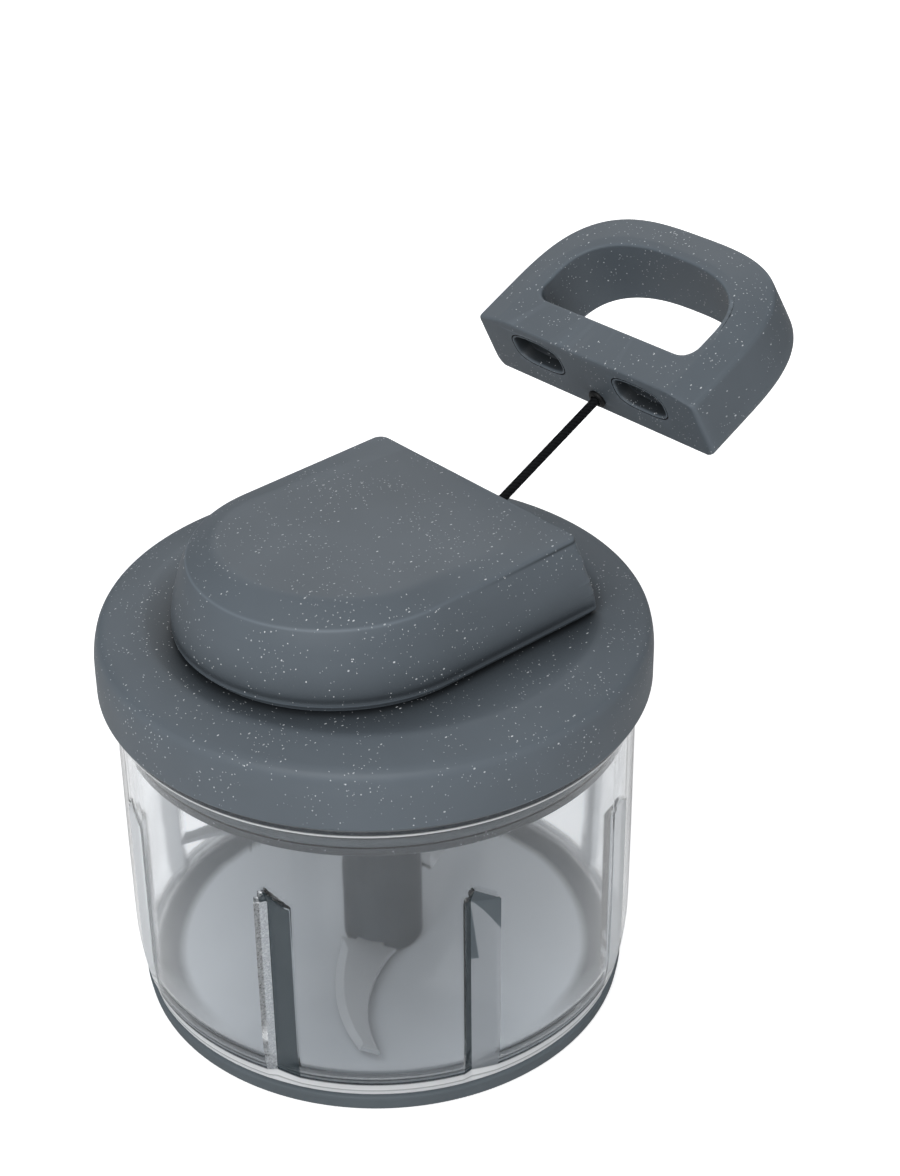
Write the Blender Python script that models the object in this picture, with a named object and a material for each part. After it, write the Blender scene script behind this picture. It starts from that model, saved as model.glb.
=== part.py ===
# Pull cord food chopper: a clear ribbed bowl on a soft foot, a lid with a D-shaped
# mechanism housing, and a D-ring handle on a cord that winds on a sprung spool.
# Metres, +Z up. The origin is the centre of the foot's underside. The cord leaves
# towards +X, and the blades, hub and spool turn about the Z axis.
from math import acos, atan2, cos, pi, radians, sin, sqrt, tan

import bmesh
import bpy
from mathutils import Matrix, Vector

# Clearances
SEAT_GAP = 0.0003
RUNNING_GAP = 0.0004
CUT_OVERRUN = 0.0020

# Foot
FOOT_RADIUS = 0.0612
FOOT_TOP_RADIUS = 0.0619
FOOT_RIM_HEIGHT = 0.0045
FOOT_RIM_WALL = 0.0030
FOOT_PLATE = 0.0032
FOOT_GROOVE_FLOOR = 0.0016
FOOT_GROOVE_WIDTH = 0.0065
FOOT_EDGE = 0.0005

# Bowl
BOWL_RADIUS = 0.0636
BOWL_WALL = 0.0022
BOWL_HEIGHT = 0.0881
BOWL_FLOOR = 0.0024
BOWL_SHOULDER_HEIGHT = 0.0190
BOWL_RING_WIDTH = 0.0045
BOWL_INNER_CURVE = 0.0080
BOWL_CURVE_STEPS = 2
RIM_OVERHANG = 0.0022
RIM_THICKNESS = 0.0026
PIN_RADIUS = 0.0034
PIN_LENGTH = 0.0180
PIN_TIP = 0.0010

# Ribs pressed into the bowl's wall: each a shallow V with one steep and one gentle side,
# ending above in a pointed facet that slopes back out to the wall
RIB_COUNT = 8
RIB_STEEP_WIDTH = 0.0023
RIB_GENTLE_WIDTH = 0.0068
RIB_DEPTH = 0.0024
RIB_TOP = 0.0654
RIB_POINT = 0.0045
RIB_FACET_HEIGHT = 0.0051
RIB_FIRST_ANGLE = radians(24.7)
RIB_SPANS = 5

# Lid
LID_RADIUS = 0.0675
LID_SEAT = BOWL_HEIGHT + SEAT_GAP
LID_WALL_TOP = 0.0990
LID_CREASE_RADIUS = 0.0661
LID_CREASE_HEIGHT = 0.1030
LID_STEP_RADIUS = 0.0553
LID_STEP_HEIGHT = 0.1060
LID_STEP_WIDTH = 0.0012
DECK_HEIGHT = 0.1068
DECK_THICKNESS = 0.0024
DECK_OPENING = 0.0300
LID_WALL = 0.0023
LID_EDGE = 0.0004
LID_POCKET_TOP = 0.0968
SKIRT_BOTTOM = 0.0771
SKIRT_CLEARANCE = 0.0005
SKIRT_WALL = 0.0024

# Seal in the skirt's groove
SEAL_GROOVE_BOTTOM = 0.0794
SEAL_GROOVE_HEIGHT = 0.0028
SEAL_GROOVE_DEPTH = 0.0008
SEAL_BULGE = 0.0005

# Mechanism housing: each level is a D of an arc and two straight sides
HOUSING_CENTRE_X = -0.0105
HOUSING_END_X = 0.0366
HOUSING_END_LEAN = radians(10.4)
HOUSING_END_CORNER = 0.0016
HOUSING_WALL = 0.0022
HOUSING_LIP_RADIUS = 0.0396
HOUSING_LIP_HEIGHT = 0.0009
HOUSING_NECK_RADIUS = 0.0387
HOUSING_NECK_RISE = 0.0016
HOUSING_BULGE_RADIUS = 0.0399
HOUSING_BULGE_RISE = 0.0042
HOUSING_MID_RADIUS = 0.0386
HOUSING_MID_RISE = 0.0098
HOUSING_UPPER_RADIUS = 0.0371
HOUSING_UPPER_RISE = 0.0148
HOUSING_CREASE_RADIUS = 0.0354
HOUSING_CREASE_RISE = 0.0184
HOUSING_CREASE_SLOPE_SHARE = 0.018
PLATEAU_RADIUS = 0.0285
PLATEAU_RISE = 0.0211
PLATEAU_SLOPE_SHARE = -0.040
D_ARC_SPANS = 20
D_SIDE_SPANS = 2
D_CORNER_SPANS = 2
D_END_SPANS = 2

# Bosses and posts inside the housing and under the deck
AXLE_BOSS_RADIUS = 0.0046
AXLE_BOSS_LENGTH = 0.0022
SCREW_POST_RADIUS = 0.0032
SCREW_PILOT_DEPTH = 0.0075
POST_TOP_SHARE = 0.9
HOUSING_POST_REAR_X = -0.0385
HOUSING_POST_FRONT_X = 0.0250
HOUSING_POST_FRONT_Y = 0.0272
COVER_POST_REACH = 0.0425
COVER_POST_COUNT = 3
COVER_POST_FIRST_ANGLE = 0.0
DOCK_BOSS_HEIGHT = 0.1211
DOCK_BOSS_REACH = 0.0020
DOCK_BOSS_FIT = 0.0018

# Screws
SCREW_RADIUS = 0.0012
SCREW_HOLE_CLEARANCE = 0.0004
SCREW_HEAD_RADIUS = 0.0023
SCREW_HEAD_HEIGHT = 0.0014
SCREW_LENGTH = 0.0080
SCREW_DRIVE_RADIUS = 0.0011
SCREW_DRIVE_DEPTH = 0.0008

# Cover under the mechanism
COVER_BOTTOM = 0.0790
COVER_THICKNESS = 0.0022
COVER_COLLAR_RADIUS = 0.0145
COVER_COLLAR_DROP = 0.0012
COVER_TUBE_RADIUS = 0.0118
COVER_TUBE_TOP = 0.0915
BUSH_WALL = 0.0018
BUSH_FLANGE = 0.0012

# Spool, its winding, axle and spring
AXLE_RADIUS = 0.0020
SPOOL_BOTTOM = 0.1100
SPOOL_RADIUS = 0.0245
SPOOL_CORE_RADIUS = 0.0155
SPOOL_FLANGE = 0.0015
SPOOL_GROOVE = 0.0062
SPRING_CUP_HEIGHT = 0.0040
SPRING_CUP_WALL = 0.0012
SPRING_TURNS = 4
SPRING_THICKNESS = 0.0005
SPRING_STEPS_PER_TURN = 12

# Ratchet clutch between spool and drive hub
HUB_CUP_RADIUS = 0.0205
HUB_CUP_WALL = 0.0022
HUB_CUP_BOTTOM = 0.0998
HUB_CUP_FLOOR = 0.0018
RATCHET_TEETH = 12
RATCHET_DEPTH = 0.0016
RATCHET_STEPS = 3
PAWL_COUNT = 3
PAWL_PIN_RADIUS = 0.0013
PAWL_PIN_REACH = 0.0098
PAWL_EYE_RADIUS = 0.0028
PAWL_TIP_WIDTH = 0.0010
DRIVE_SHAFT_RADIUS = 0.0072
DRIVE_HEX_RADIUS = 0.0056
DRIVE_HEX_BOTTOM = 0.0660
AXLE_SOCKET_DEPTH = 0.0050

# Blade column
COLUMN_RADIUS = 0.0102
COLUMN_SHOULDER_HEIGHT = 0.0300
COLUMN_TOP_RADIUS = 0.0086
COLUMN_TOP = 0.0764
COLUMN_EDGE = 0.0008
COLUMN_SOCKET_DEPTH = 0.0120
HEX_SIDES = 6
HUB_STEPS = 30

# Blades
BLADE_REACH = 0.0525
BLADE_THICKNESS = 0.0012
BLADE_ROOT_WIDTH = 0.0150
BLADE_TIP_WIDTH = 0.0052
BLADE_SWEEP = 0.0150
BLADE_BEVEL = 0.0022
BLADE_TONGUE_WIDTH = 0.0070
BLADE_TONGUE_LENGTH = 0.0036
BLADE_STEPS = 7
BLADE_HEIGHTS = {"blade_lower": 0.0088, "blade_middle": 0.0235, "blade_upper": 0.0410}
BLADE_ANGLES = {"blade_lower": radians(-152.0), "blade_middle": radians(8.0), "blade_upper": radians(128.0)}

# Cord, and the guide that it leaves the housing through
CORD_RADIUS = 0.00118
CORD_HEIGHT = 0.11505
CORD_RISE = radians(26.5)
CORD_OUT = 0.04476
CORD_STEP = 0.0055
CORD_BEND = 0.0032
CORD_WRAP = radians(50.0)
WINDING_RADIUS = 0.0174
GUIDE_THROAT = 0.0020
GUIDE_MOUTH = 0.0036
GUIDE_BODY = 0.0046
GUIDE_FLANGE_RADIUS = 0.0056
GUIDE_FLANGE = 0.0007
GUIDE_INNER_LENGTH = 0.0026
GUIDE_MOUTH_STEPS = 4

# Handle, measured from the cord's hole in its front face
HANDLE_TOP = 0.0158
HANDLE_BAND_DROP = 0.0016
HANDLE_BOTTOM = -0.0045
HANDLE_HALF_WIDTH = 0.0383
HANDLE_DEPTH = 0.0474
HANDLE_BAND_WIDTH = 0.0080
HANDLE_TOP_EDGE = 0.0012
HANDLE_BOTTOM_EDGE = 0.0028
HANDLE_BOTTOM_RISE = 0.0024
HANDLE_FLARE = 0.0006
HANDLE_CURVE_START = 0.0115
HANDLE_CURVE_POWER_SHARE = 3.15
HOLE_CURVE_POWER_SHARE = 2.6
HOLE_FRONT = 0.0112
HOLE_HALF_WIDTH = 0.0268
HOLE_REAR = 0.0371
HOLE_CURVE_START = 0.0195
HOLE_CORNER = 0.0045
HANDLE_CORNER = 0.0012
HOLE_RIM = 0.0012
HANDLE_CURVE_SPANS = 11
HANDLE_SIDE_SPANS = 2
HANDLE_FRONT_SPANS = 1
HANDLE_EDGE_SPANS = 2
HANDLE_CORNER_SPANS = 2
POCKET_DEPTH = 0.0021
POCKET_WALL = 0.0012
POCKET_FRONT_WALL = 0.0030
OVAL_OFFSET = 0.0181
OVAL_HEIGHT = 0.0080
OVAL_HALF_LENGTH = 0.0086
OVAL_HALF_HEIGHT = 0.0048
OVAL_DEPTH = 0.0036
OVAL_SIDES = 16
KNOT_RADIUS = 0.0024
KNOT_REACH = 0.0062
KNOT_POCKET_GAP = 0.0005
COLLAR_RADIUS = 0.0026
COLLAR_FLANGE = 0.0007
COLLAR_SLEEVE_WALL = 0.0007
COLLAR_SLEEVE = 0.0022
HANDLE_SCREW_REACH = 0.0063
HANDLE_SCREW_SPREAD = 0.0293

# Facets
ROUND_SIDES = 44
MIDDLE_SIDES = 28
SMALL_SIDES = 20
SCREW_SIDES = 8
CORD_SIDES_RESOLUTION = 1
SHARP_ANGLE = radians(32.0)

# Materials: colour, roughness, metallic, transmission
FINISHES = {
    "body_plastic": ((0.130, 0.150, 0.168), 0.62, 0.0, 0.0),
    "foot_rubber": ((0.105, 0.122, 0.136), 0.80, 0.0, 0.0),
    "clear_plastic": ((0.930, 0.945, 0.960), 0.05, 0.0, 0.9),
    "seal_silicone": ((0.090, 0.100, 0.112), 0.55, 0.0, 0.0),
    "cord_black": ((0.012, 0.013, 0.014), 0.75, 0.0, 0.0),
    "guide_plastic": ((0.020, 0.021, 0.023), 0.35, 0.0, 0.0),
    "blade_steel": ((0.620, 0.630, 0.640), 0.25, 1.0, 0.0),
    "inner_plastic": ((0.120, 0.135, 0.150), 0.50, 0.0, 0.0),
    "spring_steel": ((0.420, 0.430, 0.450), 0.35, 1.0, 0.0),
    "bush_brass": ((0.700, 0.520, 0.240), 0.35, 1.0, 0.0),
}


def clear_scene():
    for old in list(bpy.data.objects):
        bpy.data.objects.remove(old, do_unlink=True)


def finish(name):
    """Principled material for one of the named finishes."""
    found = bpy.data.materials.get(name)
    if found:
        return found
    colour, rough, metal, transmission = FINISHES[name]
    material = bpy.data.materials.new(name)
    material.use_nodes = True
    shader = material.node_tree.nodes["Principled BSDF"]
    shader.inputs["Base Color"].default_value = (*colour, 1.0)
    shader.inputs["Roughness"].default_value = rough
    shader.inputs["Metallic"].default_value = metal
    shader.inputs["Transmission Weight"].default_value = transmission
    material.diffuse_color = (*colour, 1.0)
    return material


def place(name, bm, material, parent=None):
    """Turn a bmesh into a named, smooth-shaded object with its faces pointing out."""
    bmesh.ops.recalc_face_normals(bm, faces=bm.faces)
    mesh = bpy.data.meshes.new(name)
    bm.to_mesh(mesh)
    bm.free()
    mesh.shade_smooth()
    mesh.set_sharp_from_angle(angle=SHARP_ANGLE)
    item = bpy.data.objects.new(name, mesh)
    bpy.context.scene.collection.objects.link(item)
    if material:
        mesh.materials.append(finish(material))
    if parent:
        item.parent = parent
    return item


def hide_cutter(item):
    item.hide_render = True
    item.display_type = "WIRE"
    return item


def combine(item, other, operation):
    """Boolean that stays on the object; the other object is only a guide."""
    hide_cutter(other)
    step = item.modifiers.new(f"{operation.lower()} {other.name}", "BOOLEAN")
    step.operation = operation
    step.object = other
    step.solver = "EXACT"
    return item


def skin(loops, ring=False):
    """Bridge equal loops; a ring joins the last to the first, otherwise both ends are capped."""
    bm = bmesh.new()
    rows = [[bm.verts.new(point) for point in loop] for loop in loops]
    count = len(rows[0])
    pairs = list(zip(rows, rows[1:]))
    if ring:
        pairs.append((rows[-1], rows[0]))
    for low, high in pairs:
        for i in range(count):
            j = (i + 1) % count
            bm.faces.new((low[i], low[j], high[j], high[i]))
    if not ring:
        bm.faces.new(rows[0])
        bm.faces.new(rows[-1])
    return bm


def circle(radius, height, sides, offset=(0.0, 0.0), turn=0.0):
    points = []
    for i in range(sides):
        angle = turn + 2 * pi * i / sides
        points.append(Vector((offset[0] + radius * cos(angle), offset[1] + radius * sin(angle), height)))
    return points


def polygon(radius, height, sides, steps):
    """A regular polygon's outline sampled at equal angles, so that it bridges to a circle."""
    points = []
    for i in range(steps):
        angle = 2 * pi * i / steps
        within = (angle % (2 * pi / sides)) - pi / sides
        reach = radius * cos(pi / sides) / cos(within)
        points.append(Vector((reach * cos(angle), reach * sin(angle), height)))
    return points


def turned(name, profile, material, sides=ROUND_SIDES, ring=False, parent=None):
    """Turn a profile of (radius, height) about Z."""
    loops = [circle(radius, height, sides) for radius, height in profile]
    return place(name, skin(loops, ring), material, parent)


def rod(name, radius, bottom, top, sides=SMALL_SIDES, offset=(0.0, 0.0), material=None):
    turn = pi / sides / 2
    loops = [circle(radius, bottom, sides, offset, turn), circle(radius, top, sides, offset, turn)]
    return place(name, skin(loops), material)


def screw_hole(name, x, y, bottom, shoulder, top, parent=None):
    """A cutter for a screw's head and shank, wide up to the shoulder."""
    head = SCREW_HEAD_RADIUS + SEAT_GAP
    shank = SCREW_RADIUS + SCREW_HOLE_CLEARANCE
    turn = pi / SCREW_SIDES / 2
    loops = []
    for radius, height in ((head, bottom), (head, shoulder), (shank, shoulder), (shank, top)):
        loops.append(circle(radius, height, SCREW_SIDES, (x, y), turn))
    return place(name, skin(loops), None, parent)


def d_outline(radius, end_x, height_at, corner=HOUSING_END_CORNER):
    """A D: an arc about the housing's centre, straight sides, and rounded end corners."""
    points = []
    for i in range(D_ARC_SPANS + 1):
        angle = pi / 2 + pi * i / D_ARC_SPANS
        points.append((HOUSING_CENTRE_X + radius * cos(angle), radius * sin(angle)))
    corner_x = end_x - corner
    for i in range(1, D_SIDE_SPANS):
        points.append((HOUSING_CENTRE_X + (corner_x - HOUSING_CENTRE_X) * i / D_SIDE_SPANS, -radius))
    for i in range(D_CORNER_SPANS + 1):
        angle = -pi / 2 + pi / 2 * i / D_CORNER_SPANS
        points.append((corner_x + corner * cos(angle), -radius + corner + corner * sin(angle)))
    span = radius - corner
    for i in range(1, D_END_SPANS):
        points.append((end_x, -span + 2 * span * i / D_END_SPANS))
    for i in range(D_CORNER_SPANS + 1):
        angle = pi / 2 * i / D_CORNER_SPANS
        points.append((corner_x + corner * cos(angle), span + corner * sin(angle)))
    for i in range(1, D_SIDE_SPANS):
        points.append((corner_x + (HOUSING_CENTRE_X - corner_x) * i / D_SIDE_SPANS, radius))
    return [Vector((x, y, height_at(x))) for x, y in points]


# Levels of the bowl, from the foot up
BOWL_BASE = FOOT_GROOVE_FLOOR + SEAT_GAP
BOWL_BASE_RADIUS = FOOT_TOP_RADIUS - FOOT_RIM_WALL - SEAT_GAP
FLOOR_UNDERSIDE = FOOT_PLATE + SEAT_GAP
FLOOR_TOP = FLOOR_UNDERSIDE + BOWL_FLOOR
BOWL_INNER_RADIUS = BOWL_RADIUS - BOWL_WALL


def make_foot():
    groove_outer = FOOT_TOP_RADIUS - FOOT_RIM_WALL
    groove_inner = groove_outer - FOOT_GROOVE_WIDTH
    profile = [
        (groove_inner, FOOT_PLATE),
        (groove_inner, FOOT_GROOVE_FLOOR),
        (groove_outer, FOOT_GROOVE_FLOOR),
        (groove_outer, FOOT_RIM_HEIGHT),
        (FOOT_TOP_RADIUS - FOOT_EDGE, FOOT_RIM_HEIGHT),
        (FOOT_TOP_RADIUS, FOOT_RIM_HEIGHT - FOOT_EDGE),
        (FOOT_RADIUS, FOOT_EDGE),
        (FOOT_RADIUS - FOOT_EDGE, 0.0),
    ]
    turned("base_foot", profile, "foot_rubber")


def rib_offset(angle):
    """How far along the wall a point lies from its rib's deep line, as a share of that side's width."""
    pitch = 2 * pi / RIB_COUNT
    along = ((angle - RIB_FIRST_ANGLE + pitch / 2) % pitch - pitch / 2) * BOWL_RADIUS
    share = along / RIB_GENTLE_WIDTH if along > 0 else -along / RIB_STEEP_WIDTH
    return min(share, 1.0)


def rib_angles():
    """Angles of the bowl's columns: each rib's edges and deep line, and even spans between ribs."""
    pitch = 2 * pi / RIB_COUNT
    steep = RIB_STEEP_WIDTH / BOWL_RADIUS
    gentle = RIB_GENTLE_WIDTH / BOWL_RADIUS
    gap = pitch - steep - gentle
    angles = []
    for k in range(RIB_COUNT):
        deep = RIB_FIRST_ANGLE + k * pitch
        angles += [deep - steep, deep, deep + gentle]
        angles += [deep + gentle + gap * i / RIB_SPANS for i in range(1, RIB_SPANS)]
    return angles


def bowl_loop(radius, height, rib_floor):
    """One level of the bowl's wall, pushed in to rib_floor along each rib's deep line."""
    points = []
    for angle in rib_angles():
        reach = radius - max(radius - rib_floor, 0.0) * (1 - rib_offset(angle))
        points.append(Vector((reach * cos(angle), reach * sin(angle), height)))
    return points


def rib_crown(radius):
    """The line where the ribs begin: it rises to a point over each deep line."""
    points = []
    for angle in rib_angles():
        height = RIB_TOP - RIB_POINT * rib_offset(angle)
        points.append(Vector((radius * cos(angle), radius * sin(angle), height)))
    return points


def make_bowl():
    outer_floor = BOWL_RADIUS - RIB_DEPTH
    inner_floor = outer_floor - BOWL_WALL
    ring_inner = BOWL_BASE_RADIUS - BOWL_RING_WIDTH
    flare = BOWL_SHOULDER_HEIGHT - FOOT_RIM_HEIGHT
    outer = [
        (BOWL_BASE_RADIUS, BOWL_BASE),
        (BOWL_BASE_RADIUS, FOOT_RIM_HEIGHT + SEAT_GAP),
        (FOOT_TOP_RADIUS - FOOT_EDGE, FOOT_RIM_HEIGHT + FOOT_EDGE),
    ]
    for i in range(1, BOWL_CURVE_STEPS + 1):
        turn = pi / 2 * i / BOWL_CURVE_STEPS
        reach = FOOT_TOP_RADIUS - FOOT_EDGE + (BOWL_RADIUS - FOOT_TOP_RADIUS + FOOT_EDGE) * sin(turn)
        outer.append((reach, FOOT_RIM_HEIGHT + FOOT_EDGE + flare * (1 - cos(turn))))
    outer.append((BOWL_RADIUS, RIB_TOP - RIB_FACET_HEIGHT))
    rim = [
        (BOWL_RADIUS, BOWL_HEIGHT - RIM_THICKNESS - RIM_OVERHANG / 2),
        (BOWL_RADIUS + RIM_OVERHANG, BOWL_HEIGHT - RIM_THICKNESS),
        (BOWL_RADIUS + RIM_OVERHANG, BOWL_HEIGHT),
    ]
    rim.append((BOWL_INNER_RADIUS, BOWL_HEIGHT))
    inner = [
        (BOWL_INNER_RADIUS, RIB_TOP - RIB_FACET_HEIGHT),
        (BOWL_INNER_RADIUS, FLOOR_TOP + BOWL_INNER_CURVE),
    ]
    for i in range(1, BOWL_CURVE_STEPS + 1):
        turn = pi / 2 * i / BOWL_CURVE_STEPS
        reach = BOWL_INNER_RADIUS - BOWL_INNER_CURVE * (1 - cos(turn))
        inner.append((reach, FLOOR_TOP + BOWL_INNER_CURVE * (1 - sin(turn))))
    plain = BOWL_RADIUS
    loops = [bowl_loop(radius, height, outer_floor) for radius, height in outer]
    loops.append(rib_crown(BOWL_RADIUS))
    loops += [bowl_loop(radius, height, plain) for radius, height in rim]
    loops.append(rib_crown(BOWL_INNER_RADIUS))
    loops += [bowl_loop(radius, height, inner_floor) for radius, height in inner]
    under = [
        bowl_loop(ring_inner, FLOOR_UNDERSIDE, plain),
        bowl_loop(ring_inner, BOWL_BASE, plain),
    ]
    bowl = place("bowl", skin(under + loops), "clear_plastic")
    pin_top = FLOOR_TOP + PIN_LENGTH
    profile = [
        (PIN_RADIUS, FLOOR_TOP - BOWL_FLOOR / 2),
        (PIN_RADIUS, pin_top - PIN_TIP),
        (PIN_RADIUS - PIN_TIP, pin_top),
    ]
    combine(bowl, turned("centre_pin", profile, None, SMALL_SIDES), "UNION")


def make_lid_body():
    skirt = BOWL_INNER_RADIUS - SKIRT_CLEARANCE
    skirt_inner = skirt - SKIRT_WALL
    wall_inner = LID_RADIUS - LID_WALL
    groove = skirt - SEAL_GROOVE_DEPTH
    groove_top = SEAL_GROOVE_BOTTOM + SEAL_GROOVE_HEIGHT
    under_deck = DECK_HEIGHT - DECK_THICKNESS
    deck_edge = LID_STEP_RADIUS - LID_STEP_WIDTH
    profile = [
        (DECK_OPENING, DECK_HEIGHT),
        (deck_edge, DECK_HEIGHT),
        (LID_STEP_RADIUS, LID_STEP_HEIGHT),
        (LID_CREASE_RADIUS, LID_CREASE_HEIGHT),
        (LID_RADIUS - LID_EDGE, (LID_WALL_TOP + LID_CREASE_HEIGHT) / 2),
        (LID_RADIUS, LID_WALL_TOP),
        (LID_RADIUS, LID_SEAT + LID_EDGE),
        (LID_RADIUS - LID_EDGE, LID_SEAT),
        (wall_inner, LID_SEAT),
        (wall_inner, LID_POCKET_TOP),
        (skirt, LID_POCKET_TOP),
        (skirt, groove_top),
        (groove, groove_top),
        (groove, SEAL_GROOVE_BOTTOM),
        (skirt, SEAL_GROOVE_BOTTOM),
        (skirt, SKIRT_BOTTOM),
        (skirt_inner, SKIRT_BOTTOM),
        (skirt_inner, LID_POCKET_TOP),
        (deck_edge, under_deck),
        (DECK_OPENING, under_deck),
    ]
    lid = turned("lid_body", profile, "body_plastic", ring=True)
    for number, (x, y) in enumerate(cover_post_places(), 1):
        bottom = COVER_BOTTOM + COVER_THICKNESS + SEAT_GAP
        post = rod(f"cover_post_{number}", SCREW_POST_RADIUS, bottom, under_deck + DECK_THICKNESS / 2,
                   SCREW_SIDES, (x, y))
        combine(lid, post, "UNION")
        pilot = rod(f"cover_pilot_{number}", SCREW_RADIUS + SEAT_GAP, bottom - CUT_OVERRUN,
                    bottom + SCREW_PILOT_DEPTH, SCREW_SIDES, (x, y))
        combine(lid, pilot, "DIFFERENCE")
    for number, (x, y) in enumerate(housing_post_places(), 1):
        hole = rod(f"deck_hole_{number}", SCREW_RADIUS + SCREW_HOLE_CLEARANCE, under_deck - CUT_OVERRUN,
                   DECK_HEIGHT + CUT_OVERRUN, SCREW_SIDES, (x, y))
        combine(lid, hole, "DIFFERENCE")


def cover_post_places():
    places = []
    for i in range(COVER_POST_COUNT):
        angle = COVER_POST_FIRST_ANGLE + 2 * pi * i / COVER_POST_COUNT
        places.append((COVER_POST_REACH * cos(angle), COVER_POST_REACH * sin(angle)))
    return places


def housing_post_places():
    return [
        (HOUSING_POST_REAR_X, 0.0),
        (HOUSING_POST_FRONT_X, HOUSING_POST_FRONT_Y),
        (HOUSING_POST_FRONT_X, -HOUSING_POST_FRONT_Y),
    ]


def make_lid_seal():
    outer = BOWL_INNER_RADIUS - SEAT_GAP
    inner = BOWL_INNER_RADIUS - SKIRT_CLEARANCE - SEAL_GROOVE_DEPTH + SEAT_GAP
    bottom = SEAL_GROOVE_BOTTOM + SEAT_GAP
    top = SEAL_GROOVE_BOTTOM + SEAL_GROOVE_HEIGHT - SEAT_GAP
    profile = [
        (inner, bottom),
        (outer - SEAL_BULGE, bottom),
        (outer, (bottom + top) / 2),
        (inner, top),
    ]
    turned("lid_seal", profile, "seal_silicone", ROUND_SIDES, ring=True)


HOUSING_BASE = DECK_HEIGHT + SEAT_GAP


def end_x_at(rise):
    """The end face leans back with height."""
    return HOUSING_END_X - rise * tan(HOUSING_END_LEAN)


def level_at(rise, slope=0.0):
    """Height of a housing level, which may slope along the pull direction."""
    return lambda x: HOUSING_BASE + rise + slope * (x - HOUSING_CENTRE_X)


def housing_loops(inset):
    """Levels of the housing's outer skin, or of its inside when inset by the wall."""
    levels = [
        (HOUSING_LIP_RADIUS, 0.0, 0.0),
        (HOUSING_LIP_RADIUS, HOUSING_LIP_HEIGHT, 0.0),
        (HOUSING_NECK_RADIUS, HOUSING_NECK_RISE, 0.0),
        (HOUSING_BULGE_RADIUS, HOUSING_BULGE_RISE, 0.0),
        (HOUSING_MID_RADIUS, HOUSING_MID_RISE, 0.0),
        (HOUSING_UPPER_RADIUS, HOUSING_UPPER_RISE, HOUSING_CREASE_SLOPE_SHARE / 2),
        (HOUSING_CREASE_RADIUS, HOUSING_CREASE_RISE, HOUSING_CREASE_SLOPE_SHARE),
        (PLATEAU_RADIUS, PLATEAU_RISE, PLATEAU_SLOPE_SHARE),
    ]
    if inset:
        neck = HOUSING_NECK_RADIUS
        levels = [(min(radius, neck), rise, slope) for radius, rise, slope in levels if rise != HOUSING_LIP_HEIGHT]
    loops = []
    for radius, rise, slope in levels:
        drop = inset if rise >= HOUSING_UPPER_RISE else 0.0
        end_x = end_x_at(rise) - inset
        loops.append(d_outline(radius - inset, end_x, level_at(rise - drop, slope)))
    return loops


def make_mechanism_housing():
    outer = housing_loops(0.0)
    inner = housing_loops(HOUSING_WALL)
    inner.reverse()
    housing = place("mechanism_housing", skin_shell(outer, inner), "body_plastic")
    roof = HOUSING_BASE + PLATEAU_RISE + PLATEAU_SLOPE_SHARE * (-HOUSING_CENTRE_X)
    boss_bottom = roof - HOUSING_WALL - AXLE_BOSS_LENGTH
    combine(housing, rod("axle_boss", AXLE_BOSS_RADIUS, boss_bottom, roof - HOUSING_WALL / 2), "UNION")
    for number, (x, y) in enumerate(housing_post_places(), 1):
        under_roof = level_at(PLATEAU_RISE, PLATEAU_SLOPE_SHARE)(x) - HOUSING_WALL * POST_TOP_SHARE
        post = rod(f"housing_post_{number}", SCREW_POST_RADIUS, HOUSING_BASE, under_roof, SCREW_SIDES, (x, y))
        combine(housing, post, "UNION")
    for side, word in ((1, "left"), (-1, "right")):
        combine(housing, dock_boss(f"dock_boss_{word}", side), "UNION")
    socket = rod("axle_socket", AXLE_RADIUS + SEAT_GAP, boss_bottom - CUT_OVERRUN, axle_top() + SEAT_GAP)
    combine(housing, socket, "DIFFERENCE")
    for number, (x, y) in enumerate(housing_post_places(), 1):
        pilot = rod(f"housing_pilot_{number}", SCREW_RADIUS + SEAT_GAP, HOUSING_BASE - CUT_OVERRUN,
                    HOUSING_BASE + SCREW_PILOT_DEPTH, SCREW_SIDES, (x, y))
        combine(housing, pilot, "DIFFERENCE")
    reach = GUIDE_INNER_LENGTH + HOUSING_WALL
    hole = skin([circle(GUIDE_BODY + SEAT_GAP, -reach - CUT_OVERRUN, SMALL_SIDES),
                 circle(GUIDE_BODY + SEAT_GAP, CUT_OVERRUN, SMALL_SIDES)])
    opening = place("guide_hole", hole, None, guide_frame)
    combine(housing, opening, "DIFFERENCE")


def skin_shell(outer, inner):
    """An open-bottomed shell: outer levels up, roof, inner levels down, joined at the bottom rim."""
    bm = bmesh.new()
    rows = [[bm.verts.new(point) for point in loop] for loop in outer]
    lining = [[bm.verts.new(point) for point in loop] for loop in inner]
    count = len(rows[0])
    pairs = list(zip(rows, rows[1:])) + list(zip(lining, lining[1:])) + [(lining[-1], rows[0])]
    for low, high in pairs:
        for i in range(count):
            j = (i + 1) % count
            bm.faces.new((low[i], low[j], high[j], high[i]))
    bm.faces.new(rows[-1])
    bm.faces.new(lining[0])
    return bm


def axle_top():
    roof = HOUSING_BASE + PLATEAU_RISE + PLATEAU_SLOPE_SHARE * (-HOUSING_CENTRE_X)
    return roof - HOUSING_WALL + SEAT_GAP


def oval(half_length, half_height, offset, height, depth):
    """An oval outline facing along local X at a depth, for the handle's recesses and their bosses."""
    points = []
    for i in range(OVAL_SIDES):
        angle = 2 * pi * i / OVAL_SIDES
        y = abs(cos(angle)) ** (2 / 3) * (1 if cos(angle) >= 0 else -1)
        z = abs(sin(angle)) ** (2 / 3) * (1 if sin(angle) >= 0 else -1)
        points.append(Vector((depth, offset + half_length * y, height + half_height * z)))
    return points


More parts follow.
